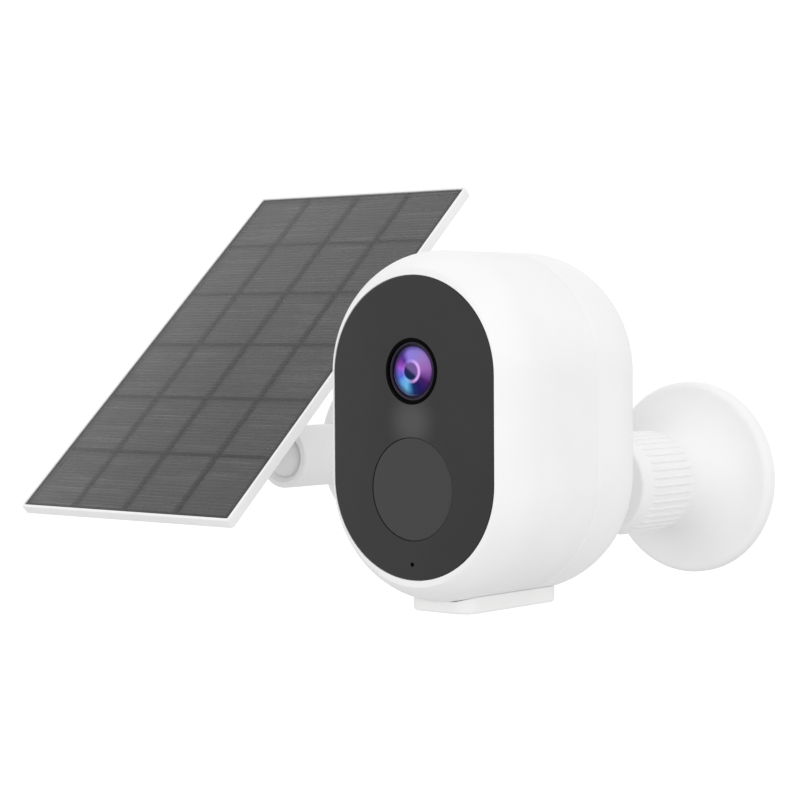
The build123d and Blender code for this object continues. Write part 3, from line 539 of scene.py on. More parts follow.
class Bench:
    """A material being made: its Principled BSDF, its wiring and its Object coordinates."""

    def __init__(self, name: str) -> None:
        """Starts a material."""
        self.material = bpy.data.materials.new(name)
        self.material.use_nodes = True
        self.wire = Wiring(self.material.node_tree)
        self.shader = self.material.node_tree.nodes["Principled BSDF"]
        self.coords = self.wire.add("ShaderNodeTexCoord").outputs["Object"]

    def group(self, effect: Effect, **values: float) -> dict[str, bpy.types.NodeSocket]:
        """Places a shared effect with its own values and gives its outputs by name."""
        node = self.wire.add("ShaderNodeGroup", node_tree=bpy.data.node_groups[effect.value])
        self.wire.tree.links.new(self.coords, node.inputs["Vector"])
        for label, value in values.items():
            node.inputs[label.replace("_", " ")].default_value = value
        return {socket.name: socket for socket in node.outputs}

    def blend(self, share: bpy.types.NodeSocket, low: Any, high: Any) -> bpy.types.NodeSocket:
        """Mixes two colours, or two colour sockets, by a varying share.

        Args:
            share: The share of the second.
            low: The first colour.
            high: The second colour.

        Returns:
            The mixed colour's socket.
        """
        node = self.wire.add("ShaderNodeMix", {"Factor": share}, data_type="RGBA")
        for socket, value in ((node.inputs[6], low), (node.inputs[7], high)):
            if isinstance(value, bpy.types.NodeSocket):
                self.wire.tree.links.new(value, socket)
            else:
                socket.default_value = (*value, 1.0)
        return node.outputs[2]

    def spread(
        self, value: bpy.types.NodeSocket, low: float, high: float, start: float = 0.25, end: float = 0.75
    ) -> Any:
        """Maps a varying value from start..end to low..high and gives its socket."""
        limits = {"Value": value, "From Min": start, "From Max": end, "To Min": low, "To Max": high}
        return self.wire.add("ShaderNodeMapRange", limits).outputs[0]

    def bump(self, height: bpy.types.NodeSocket, strength: float, distance: float) -> None:
        """Feeds a height to the shader's normal through a Bump node."""
        values = {"Height": height, "Strength": strength, "Distance": distance}
        node = self.wire.add("ShaderNodeBump", values)
        self.wire.tree.links.new(node.outputs[0], self.shader.inputs["Normal"])

    def feed(self, **sockets: Any) -> None:
        """Sets or joins the shader's own sockets, named with underscores for spaces."""
        for label, value in sockets.items():
            socket = self.shader.inputs[label.replace("_", " ")]
            if isinstance(value, bpy.types.NodeSocket):
                self.wire.tree.links.new(value, socket)
            elif isinstance(value, tuple):
                socket.default_value = (*value, 1.0)
            else:
                socket.default_value = value


@dataclass(frozen=True)
class Moulded:
    """Injection-moulded plastic or rubber: two close tones, a fine grain and faint handling marks."""

    slot: str
    tone: Colour
    second: Colour
    rough: tuple[float, float] = (0.36, 0.46)
    grain: float = 2500.0
    bump: float = 0.05
    marks: float = 0.25
    coat: float = 0.0
    specular: float = 0.5
    sheen: float = 0.0

    def make(self) -> bpy.types.Material:
        """Builds the material."""
        bench = Bench(self.slot)
        grain = bench.group(Effect.GRAIN, Grain_Scale=self.grain)
        marks = bench.group(Effect.HANDLING, Amount=self.marks)["Mask"]
        rough = bench.spread(grain["Tone"], *self.rough)
        rubbed = bench.wire.math("MULTIPLY_ADD", marks, 0.12, rough)
        bench.feed(
            Base_Color=bench.blend(bench.spread(grain["Tone"], 0.0, 1.0), self.tone, self.second),
            Roughness=rubbed,
        )
        bench.feed(
            Coat_Weight=self.coat, Coat_Roughness=0.08, Specular_IOR_Level=self.specular,
            Sheen_Weight=self.sheen,
        )
        bench.bump(grain["Height"], self.bump, 0.0001)
        return bench.material


@dataclass(frozen=True)
class Turned:
    """Turned or drawn metal with fine tool lines."""

    slot: str
    tone: Colour
    second: Colour
    rough: tuple[float, float] = (0.22, 0.38)
    lines: float = 900.0

    def make(self) -> bpy.types.Material:
        """Builds the material."""
        bench = Bench(self.slot)
        turning = bench.group(Effect.TURNING, Scale=self.lines)
        marks = bench.group(Effect.HANDLING, Scale=400.0, Amount=0.5)["Mask"]
        worn = bench.blend(
            marks, bench.blend(bench.spread(turning["Tone"], 0.0, 1.0), self.tone, self.second), self.tone
        )
        bench.feed(Base_Color=worn, Roughness=bench.spread(turning["Tone"], *self.rough), Metallic=1.0)
        bench.bump(turning["Height"], 0.08, 0.00005)
        return bench.material


@dataclass(frozen=True)
class BoardFinish:
    """Solder mask over copper tracks, with bare pads."""

    slot: str
    mask: Colour
    track: Colour
    pad: Colour = (0.75, 0.68, 0.5)

    def make(self) -> bpy.types.Material:
        """Builds the material."""
        bench = Bench(self.slot)
        grain = bench.group(Effect.GRAIN, Cloud_Scale=300.0)
        bricks = {"Vector": bench.coords, "Scale": 420.0, "Randomness": 0.6}
        cells = bench.wire.add("ShaderNodeTexVoronoi", bricks, feature="DISTANCE_TO_EDGE")
        track = bench.spread(cells.outputs["Distance"], 1.0, 0.0, 0.02, 0.06)
        dots = bench.wire.add(
            "ShaderNodeTexVoronoi", {"Vector": bench.coords, "Scale": 520.0, "Randomness": 0.3}
        )
        pads = bench.spread(dots.outputs["Distance"], 1.0, 0.0, 0.16, 0.2)
        base = bench.blend(bench.spread(grain["Tone"], 0.0, 0.35), self.mask, self.track)
        tracked = bench.blend(bench.wire.math("MULTIPLY", track, 0.6), base, self.track)
        bench.feed(
            Base_Color=bench.blend(pads, tracked, self.pad),
            Roughness=bench.spread(pads, 0.42, 0.25, 0.0, 1.0),
        )
        bench.bump(track, 0.1, 0.0001)
        return bench.material


@dataclass(frozen=True)
class DarkFace(Moulded):
    """The face plate's dark smooth acrylic, lighter in a soft round patch between the lens and the motion
    window: a painted reflection.
    """

    # The painted reflection's colour, and the middle and the radius of its round patch, in millimetres.
    painted_reflection: Colour = (0.052, 0.052, 0.052)
    reflection_at: tuple[float, float, float] = (0.0, 0.0, 22.0)
    reflection_radius: float = 11.0

    def make(self) -> bpy.types.Material:
        """Builds the material."""
        bench = Bench(self.slot)
        grain = bench.group(Effect.GRAIN, Grain_Scale=self.grain)
        marks = bench.group(Effect.HANDLING, Amount=self.marks)["Mask"]
        centre = tuple(Vector(self.reflection_at) * MM)
        size = (self.reflection_radius * MM, 1.0, self.reflection_radius * MM)
        spot = {"Vector": bench.coords, "Location": centre, "Scale": size}
        local = bench.wire.add("ShaderNodeMapping", spot, vector_type="TEXTURE").outputs[0]
        far = bench.wire.add("ShaderNodeVectorMath", {0: local}, operation="LENGTH").outputs["Value"]
        near = bench.wire.add(
            "ShaderNodeMapRange", {"Value": far, "From Min": 1.0, "From Max": 0.0},
            interpolation_type="SMOOTHERSTEP"
        ).outputs[0]
        plain = bench.blend(bench.spread(grain["Tone"], 0.0, 1.0), self.tone, self.second)
        # Lighter towards the patch's middle: a painted reflection on the dark plate.
        bench.feed(Base_Color=bench.blend(near, plain, self.painted_reflection))
        rough = bench.spread(grain["Tone"], *self.rough)
        bench.feed(
            Roughness=bench.wire.math("MULTIPLY_ADD", marks, 0.1, rough), Specular_IOR_Level=self.specular
        )
        bench.bump(grain["Height"], self.bump, 0.0001)
        return bench.material


@dataclass(frozen=True)
class CoatedLens:
    """Lens glass with an anti-reflection coating: painted reflections in colours turn round the dome, about a
    dark pupil.
    """

    slot: str
    centre: tuple[float, float, float]
    radius: float
    reflection_hues: tuple[tuple[float, Colour], ...]
    # The bright ring's colour about the pupil: a painted highlight.
    ring: Colour = (0.72, 0.42, 0.95)
    # The dark rim's colour: a painted dark reflection at the glass's edge.
    rim: Colour = (0.008, 0.003, 0.035)
    glint: Colour = (0.2, 0.28, 0.55)
    # The pupil's colours below and above: the dark is the pupil's own, the lighter mauve above is a painted
    # reflection.
    pupil: tuple[Colour, Colour] = ((0.001, 0.012, 0.07), (0.16, 0.09, 0.3))
    pupil_edge: Point = (0.3, 0.36)
    ring_r: float = 0.4
    glint_r: float = 0.92

    def make(self) -> bpy.types.Material:
        """Builds the material."""
        bench = Bench(self.slot)
        add = bench.wire.add
        spot = {
            "Vector": bench.coords,
            "Location": tuple(Vector(self.centre) * MM),
            "Rotation": (math.pi / 2, 0.0, 0.0),
            "Scale": (self.radius * MM,) * 3,
        }
        flat = add("ShaderNodeMapping", spot, vector_type="TEXTURE").outputs[0]
        parts = add("ShaderNodeSeparateXYZ", {0: flat}).outputs
        plane = bench.wire.vector({"X": parts[0], "Y": parts[1]})
        noise = bench.wire.noise(plane, 1.6, 2.0)
        # The hues that turn round the dome are a painted reflection of the coating.
        turn = add("ShaderNodeTexGradient", {"Vector": plane}, gradient_type="RADIAL").outputs["Fac"]
        ramp = add("ShaderNodeValToRGB", {"Fac": turn})
        stops = ramp.color_ramp.elements
        while len(stops) > 1:
            stops.remove(stops[-1])
        stops[0].position, stops[0].color = self.reflection_hues[0][0], (*self.reflection_hues[0][1], 1.0)
        for position, colour in self.reflection_hues[1:]:
            stops.new(position).color = (*colour, 1.0)
        far = add("ShaderNodeVectorMath", {0: plane}, operation="LENGTH").outputs["Value"]
        aside = add(
            "ShaderNodeVectorMath", {0: plane, 1: (0.14, 0.02, 0.0)}, operation="DISTANCE"
        ).outputs["Value"]
        # Darker towards the edge, sooner on one side, and at the very edge of the glass: a painted dark
        # reflection.
        wavy = bench.wire.math("MULTIPLY_ADD", noise, 0.14, bench.wire.math("ADD", aside, -0.07))
        body = bench.blend(bench.spread(wavy, 0.0, 1.0, 0.76, 1.02), ramp.outputs[0], self.rim)
        body = bench.blend(bench.spread(far, 0.0, 0.9, 0.93, 0.97), body, self.rim)
        # The dark pupil, from navy below to mauve above: the dark is the pupil's own, the mauve a painted
        # reflection.
        inside = bench.spread(far, 1.0, 0.0, *self.pupil_edge)
        slant = bench.wire.math("MULTIPLY_ADD", parts[0], 0.66, parts[1])
        pupil = bench.blend(bench.spread(slant, 0.0, 1.0, -0.08, 0.08), *self.pupil)
        # A bright ring about the pupil, stronger towards one side: a painted highlight.
        band = bench.wire.math("ABSOLUTE", bench.wire.math("ADD", far, -self.ring_r))
        strength = bench.spread(
            bench.wire.math("MULTIPLY_ADD", parts[1], -0.1, parts[0]), 0.15, 1.0, -0.1, 0.28
        )
        halo = bench.wire.math("MULTIPLY", bench.spread(band, 1.0, 0.0, 0.01, 0.09), strength)
        eye = bench.blend(halo, bench.blend(inside, body, pupil), self.ring)
        glint_band = bench.wire.math("ABSOLUTE", bench.wire.math("ADD", far, -self.glint_r))
        low_left = bench.wire.math("MULTIPLY_ADD", parts[0], 0.8, parts[1])
        glint = bench.wire.math(
            "MULTIPLY", bench.spread(glint_band, 0.5, 0.0, 0.004, 0.024),
            bench.spread(low_left, 1.0, 0.0, -1.05, -0.6)
        )
        eye = bench.blend(glint, eye, self.glint)
        bench.feed(
            Base_Color=eye, Roughness=bench.spread(noise, 0.1, 0.2), Coat_Weight=1.0, Coat_Roughness=0.02
        )
        bench.feed(Specular_IOR_Level=0.06, Coat_IOR=1.14)
        return bench.material


@dataclass(frozen=True)
class Wafer:
    """Solar cell silicon: near black, with a broad cloudy tone and a sheen from its nitride coat."""

    slot: str
    tone: Colour
    second: Colour

    def make(self) -> bpy.types.Material:
        """Builds the material."""
        bench = Bench(self.slot)
        flakes = bench.wire.add(
            "ShaderNodeTexVoronoi", {"Vector": bench.coords, "Scale": 260.0}
        ).outputs["Color"]
        split = bench.wire.add("ShaderNodeSeparateColor", {0: flakes}).outputs[0]
        cloud = bench.group(Effect.GRAIN, Cloud_Scale=55.0)["Tone"]
        share = bench.wire.math("MULTIPLY_ADD", split, 0.35, bench.spread(cloud, 0.0, 0.65))
        bench.feed(
            Base_Color=bench.blend(share, self.tone, self.second),
            Roughness=bench.spread(split, 0.22, 0.34, 0.0, 1.0),
        )
        return bench.material


@dataclass(frozen=True)
class Laminate:
    """The panel's clear satin front: a thin haze that is deeper over the gaps between the cells."""

    slot: str
    place: Place
    haze: Colour = (0.104, 0.104, 0.105)
    pale: Colour = (0.126, 0.126, 0.127)
    deep: Colour = (0.055, 0.055, 0.056)
    stroke: Colour = (0.175, 0.175, 0.177)
    alpha: float = 0.55
    pitch: Point = (CELL_GRID["Pitch Across"], CELL_GRID["Pitch Up"])
    band: Point = (1.9, 1.05)

    def make(self) -> bpy.types.Material:
        """Builds the material."""
        bench = Bench(self.slot)
        add, join = bench.wire.add, bench.wire.math
        spot = {
            "Vector": bench.coords, "Location": tuple(Vector(self.place.origin) * MM),
            "Rotation": (self.place.tip, 0, 0),
        }
        flat = add("ShaderNodeMapping", spot | {"Scale": (MM, MM, MM)}, vector_type="TEXTURE").outputs[0]
        parts = add("ShaderNodeSeparateXYZ", {0: flat}).outputs
        gaps = []
        for value, pitch, band in zip(parts, self.pitch, self.band):
            phase = join("FRACT", join("ADD", join("DIVIDE", value, pitch), 0.5))
            off = join("MULTIPLY", join("ABSOLUTE", join("ADD", phase, -0.5)), pitch)
            fade = {"Value": off, "From Min": 0.45 * band, "From Max": band, "To Min": 1.0, "To Max": 0.0}
            gaps.append(add("ShaderNodeMapRange", fade, interpolation_type="SMOOTHSTEP").outputs[0])
        gap = join("MAXIMUM", *gaps)
        grain = bench.group(Effect.GRAIN, Cloud_Scale=26.0, Grain_Scale=1400.0)
        even = bench.blend(bench.spread(grain["Tone"], 0.0, 0.3), self.haze, self.pale)
        drawn = add("ShaderNodeMapping", {"Vector": flat, "Scale": (0.018, 1.3, 0.0)}).outputs[0]
        strokes = bench.wire.noise(drawn, 1.0, 2.0)
        patch = bench.wire.noise(flat, 0.045, 1.0)
        shown = join(
            "MULTIPLY", bench.spread(strokes, 0.0, 1.0, 0.52, 0.66), bench.spread(patch, 0.3, 1.0, 0.36, 0.52)
        )
        even = bench.blend(shown, even, self.stroke)
        bench.feed(
            Base_Color=bench.blend(gap, even, self.deep), Roughness=bench.spread(grain["Tone"], 0.2, 0.32)
        )
        bench.feed(Alpha=self.alpha, Specular_IOR_Level=0.5)
        bench.bump(grain["Height"], 0.06, 0.0001)
        return bench.material


LENS_AT = (0.0, 0.0, 35.4)
LENS_GLASS_R = 6.95
CAMERA_FOOT = Place((0.0, 0.0, 0.0))
PANEL_ACROSS, PANEL_BALL_DEPTH, PANEL_HEIGHT = -124.4, 51.6, 4.5
PANEL_FOOT = Place((PANEL_ACROSS, 0.0, PANEL_HEIGHT))
PANEL_LEAN = math.radians(90.0 - 47.76)
PANEL_BALL = (PANEL_ACROSS, -PANEL_BALL_DEPTH, PANEL_HEIGHT)
PANEL_UP = Vector((0.0, math.cos(PANEL_LEAN), math.sin(PANEL_LEAN)))
PANEL_STEM = Place(PANEL_BALL, PANEL_LEAN)
PANEL_MIDDLE = Place(tuple(Vector(PANEL_BALL) + PANEL_UP * 10.5), PANEL_LEAN)

# Colours of the painted reflection that turns round the lens dome, by the share of a turn.
COATING_REFLECTION_HUES: tuple[tuple[float, Colour], ...] = (
    (0.0, (0.20, 0.10, 0.70)),
    (0.06, (0.07, 0.13, 0.66)),
    (0.12, (0.11, 0.38, 0.80)),
    (0.19, (0.14, 0.46, 0.76)),
    (0.235, (0.04, 0.20, 0.42)),
    (0.27, (0.002, 0.02, 0.13)),
    (0.33, (0.006, 0.002, 0.10)),
    (0.42, (0.05, 0.006, 0.12)),
    (0.46, (0.16, 0.05, 0.27)),
    (0.52, (0.30, 0.12, 0.42)),
    (0.62, (0.30, 0.18, 0.52)),
    (0.72, (0.24, 0.20, 0.62)),
    (0.79, (0.27, 0.18, 0.70)),
    (0.86, (0.06, 0.015, 0.26)),
    (0.92, (0.24, 0.04, 0.40)),
    (0.97, (0.36, 0.09, 0.70)),
    (1.0, (0.20, 0.10, 0.70)),
)

FINISHES: tuple[Any, ...] = (
    Moulded("white_shell", (0.82, 0.82, 0.82), (0.86, 0.86, 0.86), (0.34, 0.42), bump=0.04, marks=0.2),
    Moulded("white_matte", (0.76, 0.76, 0.755), (0.80, 0.80, 0.795), (0.5, 0.6), grain=1500.0, bump=0.1),
    Moulded("white_stud", (0.74, 0.74, 0.74), (0.78, 0.78, 0.78), (0.32, 0.42), grain=3500.0, bump=0.06),
    Moulded(
        "white_rubber", (0.83, 0.83, 0.825), (0.88, 0.88, 0.875), (0.55, 0.68), grain=1800.0, bump=0.12,
        sheen=0.15,
    ),
    Moulded(
        "grey_rubber", (0.09, 0.09, 0.093), (0.13, 0.13, 0.133), (0.6, 0.75), grain=1600.0, bump=0.15,
        sheen=0.1,
    ),
    DarkFace("black_face", (0.006, 0.006, 0.006), (0.010, 0.010, 0.010), (0.12, 0.2), bump=0.01, marks=0.15),
    Moulded(
        "pir_grey", (0.026, 0.026, 0.026), (0.032, 0.032, 0.032), (0.5, 0.6), grain=1200.0, bump=0.05,
        marks=0.1,
    ),
    Moulded(
        "lens_black", (0.001, 0.001, 0.0012), (0.002, 0.002, 0.0024), (0.5, 0.65), bump=0.05, specular=0.03
    ),
    Turned("lens_trim", (0.035, 0.03, 0.045), (0.06, 0.05, 0.075), (0.3, 0.42), 2200.0),
    CoatedLens("lens_glass", LENS_AT, LENS_GLASS_R, COATING_REFLECTION_HUES),
    BoardFinish("circuit", (0.012, 0.11, 0.045), (0.05, 0.22, 0.09)),
    BoardFinish("circuit_black", (0.006, 0.006, 0.007), (0.02, 0.02, 0.022)),
    Moulded("led_clear", (0.42, 0.36, 0.45), (0.52, 0.47, 0.55), (0.08, 0.14), bump=0.01, coat=0.8),
    Turned("steel", (0.46, 0.46, 0.48), (0.60, 0.60, 0.62)),
    Turned("brass", (0.62, 0.42, 0.16), (0.74, 0.54, 0.24)),
    Moulded("cell_wrap", (0.03, 0.12, 0.36), (0.05, 0.18, 0.45), (0.18, 0.28), grain=900.0, coat=0.3),
    Moulded(
        "inner_plastic", (0.012, 0.012, 0.013), (0.022, 0.022, 0.023), (0.45, 0.58), grain=1500.0, bump=0.1
    ),
    Moulded(
        "button_grey", (0.14, 0.14, 0.145), (0.19, 0.19, 0.195), (0.5, 0.62), grain=1800.0, bump=0.1,
        sheen=0.1,
    ),
    Wafer("cell_dark", (0.012, 0.014, 0.022), (0.026, 0.028, 0.038)),
    Laminate("panel_glass", PANEL_MIDDLE),
)


class Workshop:
    """Holds the finishes and the node trees, and hands pieces over to the frame."""

    def __init__(self) -> None:
        """Builds the shared effects, every finish and the repeating trees."""
        grain_group()
        handling_group()
        turning_group()
        self.finish: dict[str, bpy.types.Material] = {maker.slot: maker.make() for maker in FINISHES}
        self.ribs = rib_tree()
        self.wafers = wafer_tree()
        self.fingers = finger_tree()
        self.screws = screw_tree()

    def hand_over(self, piece: bpy.types.Object, body: str, slot: str, *nodes: str) -> None:
        """Dresses a piece, sets it on its body and says which nodes it stands for.

        Args:
            piece: The finished piece.
            body: The body it rides on.
            slot: The record's slot for its finish.
            nodes: The nodes that it replaces.
        """
        piece.data.materials.clear()
        piece.data.materials.append(self.finish[slot])
        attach(piece, body)
        if nodes:
            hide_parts(*nodes)
        LOG.info("%s rides on %s in %s, %d faces", piece.name, body, slot, len(piece.data.polygons))

    def dress_nodes(self) -> None:
        """Gives every node of the frame the finish of its slot."""
        for part in frame["record"]["subparts"]:
            materials = frame["nodes"][part["node"]].data.materials
            materials.clear()
            materials.append(self.finish[part["material_slot"]])
            LOG.info("node %s is dressed in %s", part["node"], part["material_slot"])


# --- wall brackets ------------------------------------------------------------------------------------


class Grip(Enum):
    """How a lock nut is gripped."""

    RIBBED = "ribbed"
    SMOOTH = "smooth"


@dataclass
class BallMount:
    """One bracket's turned pieces: the lock nut on its collar and the thumb ring on its stem."""

    side: str
    foot: Place
    stem: Place
    grip: Grip
    ball_depth: float
    ball_r: float
    nut_r: float
    nut_back: float
    nut_front: float
    lip: float
    mouth_r: float
    collar_r: float
    shoulder: float
    ring_back: float
    ring_front: float
    ring_r: float
    edge_r: float = 1.1
    smooth_front: float = 4.6
    bore_r: float = 3.235
    ribs: int = 38
    rib_r: float = 0.68
    knurls: int = 28
    knurl_r: float = 0.52

    def nut_section(self) -> list[Point]:
        """Gives the nut's closed section: a rounded lip, a plain bore and the ball's seat."""
        seat = self.ball_r + 0.06

        def seat_at(depth: float) -> Point:
            """Gives the point on the ball's seat at a depth."""
            return math.sqrt(seat**2 - (depth - self.ball_depth) ** 2), depth

        section = [(self.mouth_r, self.nut_front)]
        section += arc((self.nut_r - self.edge_r, self.nut_front - self.edge_r), self.edge_r, 90, 0, 8)
        section += [(self.nut_r, self.nut_back + 0.4), (self.nut_r - 0.4, self.nut_back)]
        section += [(self.collar_r, self.nut_back), (self.collar_r, self.shoulder)]
        steps = 10
        section += [seat_at(self.shoulder + (self.lip - self.shoulder) * i / steps) for i in range(steps + 1)]
        return section

    def build(self, shop: Workshop) -> None:
        """Makes the nut and the ring and hands them over."""
        nut = turned(f"{self.side}_nut_sleeve", self.nut_section(), self.foot, steps=64)
        shop.hand_over(nut, f"{self.side}_nut", "white_shell", f"{self.side}_lock_nut")
        if self.grip is Grip.RIBBED:
            length = self.nut_front - self.nut_back - self.smooth_front - 0.6
            ribs = shop.ribs.make(
                f"{self.side}_nut_ribs", self.foot, shop.finish["white_shell"], Count=self.ribs,
                Ring_Radius=self.nut_r - 0.12, Rib_Radius=self.rib_r, Start=self.nut_back + 0.6,
                Length=length,
            )
            shop.hand_over(ribs, f"{self.side}_nut", "white_shell")
        self.build_ring(shop)

    def build_ring(self, shop: Workshop) -> None:
        """Makes the thumb ring, with soft ribs for its knurl."""
        core, soft = self.ring_r - 0.5, 0.5
        section = [
            (self.bore_r + 0.3, self.ring_front), (core - soft, self.ring_front),
            (core, self.ring_front - soft),
        ]
        section += [
            (core, self.ring_back + soft), (core - soft, self.ring_back), (self.bore_r + 0.3, self.ring_back)
        ]
        section += [(self.bore_r, self.ring_back + 0.3), (self.bore_r, self.ring_front - 0.3)]
        ring = turned(f"{self.side}_ring_core", section, self.stem, steps=40)
        shop.hand_over(ring, f"{self.side}_ring", "white_shell", f"{self.side}_lock_ring")
        span = self.ring_front - self.ring_back
        knurl = shop.ribs.make(
            f"{self.side}_ring_knurl", self.stem, shop.finish["white_shell"], Count=self.knurls,
            Ring_Radius=core - 0.05,
            Rib_Radius=self.knurl_r, Start=self.ring_back + 0.3, Length=span - 0.6,
        )
        shop.hand_over(knurl, f"{self.side}_ring", "white_shell")


# --- camera head --------------------------------------------------------------------------------------


@dataclass
class CameraHead:
    """The camera head: its rounded front case, the dark face and the eye in it, and its case screws."""

    centre: Place = field(default_factory=lambda: Place((0.0, 0.0, 20.26)))
    half: float = 14.18
    front: float = 137.2
    seam: float = 98.7
    case_r: float = 33.4
    wall: float = 2.2
    swell_r: float = 17.36
    swell_turn: float = 44.0
    plate_r: float = 27.58
    plate_t: float = 1.5
    ease: float = 1.05
    lens_z: float = LENS_AT[2]
    lens_r: float = 8.87
    pir_z: float = 3.87
    pir_r: float = 13.84
    mic_z: float = -16.26
    mic_r: float = 0.6
    port: tuple[float, float, float] = (12.4, 23.8, 112.5)
    port_floor: Point = (-25.92, -23.95)
    screw_circle: float = 28.0
    screw_turn: float = 30.0
    screw_depth: float = 78.7
    dome_r: float = 26.0

    def build(self, shop: Workshop) -> None:
        """Makes the head's pieces and hands them over."""
        self.build_case(shop)
        self.build_face(shop)
        self.build_eye(shop)
        self.build_cover_lip(shop)
        turn = math.radians(self.screw_turn)
        rise, reach = self.screw_circle * math.sin(turn) + self.half, self.screw_circle * math.cos(turn)
        self.build_wells(shop, reach, rise)
        screws = shop.screws.make(
            "case_cross_screws", self.centre, shop.finish["steel"], Pitch_Across=2 * reach, Pitch_Up=2 * rise,
            Depth=self.screw_depth, Head_Radius=2.4, Head_Height=-1.8, Slot=0.6, Shank_Radius=1.28,
            Shank_Length=-28.0,
        )
        shop.hand_over(screws, "head", "steel", "case_screws")

    def case_section(self) -> list[Point]:
        """Gives the front case's closed section: the plate's recess, the lip, the seam and back inside."""
        side, depth = self.case_r - self.swell_r, self.front - self.swell_r * math.sin(math.radians(46.0))
        ledge, recess = 25.0, self.plate_r + 0.06
        inner = self.swell_r - self.wall
        start = math.degrees(math.asin((self.front - self.plate_t - 2.0 - depth) / inner))
        section = [
            (ledge, self.front - self.plate_t), (recess, self.front - self.plate_t),
            (recess, self.front - 0.4),
        ]
        section += [
            (recess + 0.05, self.front - 0.18), (recess + 0.17, self.front - 0.05),
            (recess + 0.34, self.front - 0.05),
        ]
        section += arc((side, depth), self.swell_r, self.swell_turn, 0.0, 26)
        section += arc((self.case_r - 0.35, self.seam + 0.35), 0.35, 0.0, -90.0, 4)
        section += [(self.case_r - self.wall, self.seam)]
        section += arc((side, depth), inner, 0.0, start, 16)
        section += [(ledge, self.front - self.plate_t - 2.0)]
        return section

    def block(self, width: float, length: float, depth: float, low: float, high: float) -> bpy.types.Object:
        """Makes an upright box under the head, for cutting and joining."""
        build = bmesh.new()
        bmesh.ops.create_cube(build, size=1.0)
        size = Matrix.Diagonal((width * MM, length * MM, (high - low) * MM, 1.0))
        build.transform(Matrix.Translation(Vector((0.0, -depth, (low + high) / 2)) * MM) @ size)
        return finish_mesh("block", build)

    def ease_ends(self, piece: bpy.types.Object) -> None:
        """Eases the two ends of the face's outline a little flatter, on the plate and on its recess."""
        middle, half, share = self.centre.origin[2] * MM, self.half * MM, 1.0 - self.ease / self.plate_r
        reach, depth = (self.plate_r + 0.45) * MM, (self.front - 4.0) * MM
        for vertex in piece.data.vertices:
            beyond = abs(vertex.co.z - middle) - half
            if beyond > 0.0 and -vertex.co.y > depth and math.hypot(vertex.co.x, beyond) < reach:
                vertex.co.z = middle + math.copysign(half + beyond * share, vertex.co.z - middle)

    def build_case(self, shop: Workshop) -> None:
        """Makes the front case with its port opening."""
        name = "front_case"
        case = turned(name, self.case_section(), self.centre, self.half, steps=56)
        self.ease_ends(case)
        width, length, depth = self.port
        low, high = self.port_floor
        carve(case, self.block(width + 5.0, length + 3.0, depth, low, high), "UNION")
        carve(bpy.data.objects[name], self.block(width, length, depth, low - 9.0, high + 4.0))
        shop.hand_over(bpy.data.objects[name], "head", "white_shell", "front_shell")

    def rod(self, radius: float, height: float, low: float, high: float, steps: int = 40) -> bpy.types.Object:
        """Makes a cutting rod along the head's depth at a height."""
        place = Place((0.0, 0.0, height))
        return turned("rod", [(radius, low), (radius, high)], place, steps=steps, edge=Edge.CAPPED)

    def build_face(self, shop: Workshop) -> None:
        """Makes the dark plate with its openings, and the motion sensor's window."""
        name, back = "face_plate", self.front - self.plate_t
        section = [(self.plate_r, back)] + arc((self.plate_r - 0.3, self.front - 0.3), 0.3, 0.0, 90.0, 6)
        self.ease_ends(turned(name, section, self.centre, self.half, steps=56, edge=Edge.CAPPED))
        openings = (
            (self.lens_r + 0.06, self.lens_z), (self.pir_r + 0.06, self.pir_z), (self.mic_r, self.mic_z)
        )
        for radius, height in openings:
            carve(bpy.data.objects[name], self.rod(radius, height, back - 1.0, self.front + 1.0))
        shop.hand_over(bpy.data.objects[name], "head", "black_face", "front_plate")
        flange = [(self.pir_r + 1.0, back - 0.7), (self.pir_r + 1.0, back), (self.pir_r, back)]
        flange += arc((self.pir_r - 0.35, self.front - 0.4), 0.35, 0.0, 90.0, 6)
        crown = [
            (self.pir_r * share, self.front - 0.05 + 0.05 * (1 - share**2)) for share in (0.9, 0.7, 0.45, 0.2)
        ]
        window = turned(
            "motion_window", flange + crown, Place((0.0, 0.0, self.pir_z)), steps=64, edge=Edge.CAPPED
        )
        shop.hand_over(window, "head", "pir_grey", "pir_window")

    def build_wells(self, shop: Workshop, reach: float, rise: float) -> None:
        """Lines the case screws' wells, from each seat back to the inside of the domed rear.

        Args:
            shop: The workshop.
            reach: The wells' distance from the middle, across.
            rise: The wells' distance from the middle, upwards.
        """
        seat, inner, outer, dome, dome_r = 80.5, 2.61, 2.95, 88.6, 19.6
        wells = bmesh.new()
        for side, way in ((-1, -1), (-1, 1), (1, -1), (1, 1)):
            place = Place((side * reach, 0.0, self.centre.origin[2] + way * rise))
            section = [(inner, seat), (inner, seat - 1.0), (outer, seat - 1.0), (outer, seat)]
            well = turned("well", section, place, steps=20)
            for vertex in well.data.vertices:
                if -vertex.co.y < (seat - 0.5) * MM:
                    out = math.hypot(
                        vertex.co.x / MM, abs(vertex.co.z / MM - self.centre.origin[2]) - self.half
                    )
                    vertex.co.y = -(dome - math.sqrt(dome_r**2 - (out - 12.4) ** 2)) * MM
            wells.from_mesh(well.data)
            bpy.data.objects.remove(well)
        shop.hand_over(finish_mesh("case_screw_wells", wells), "head", "white_shell")

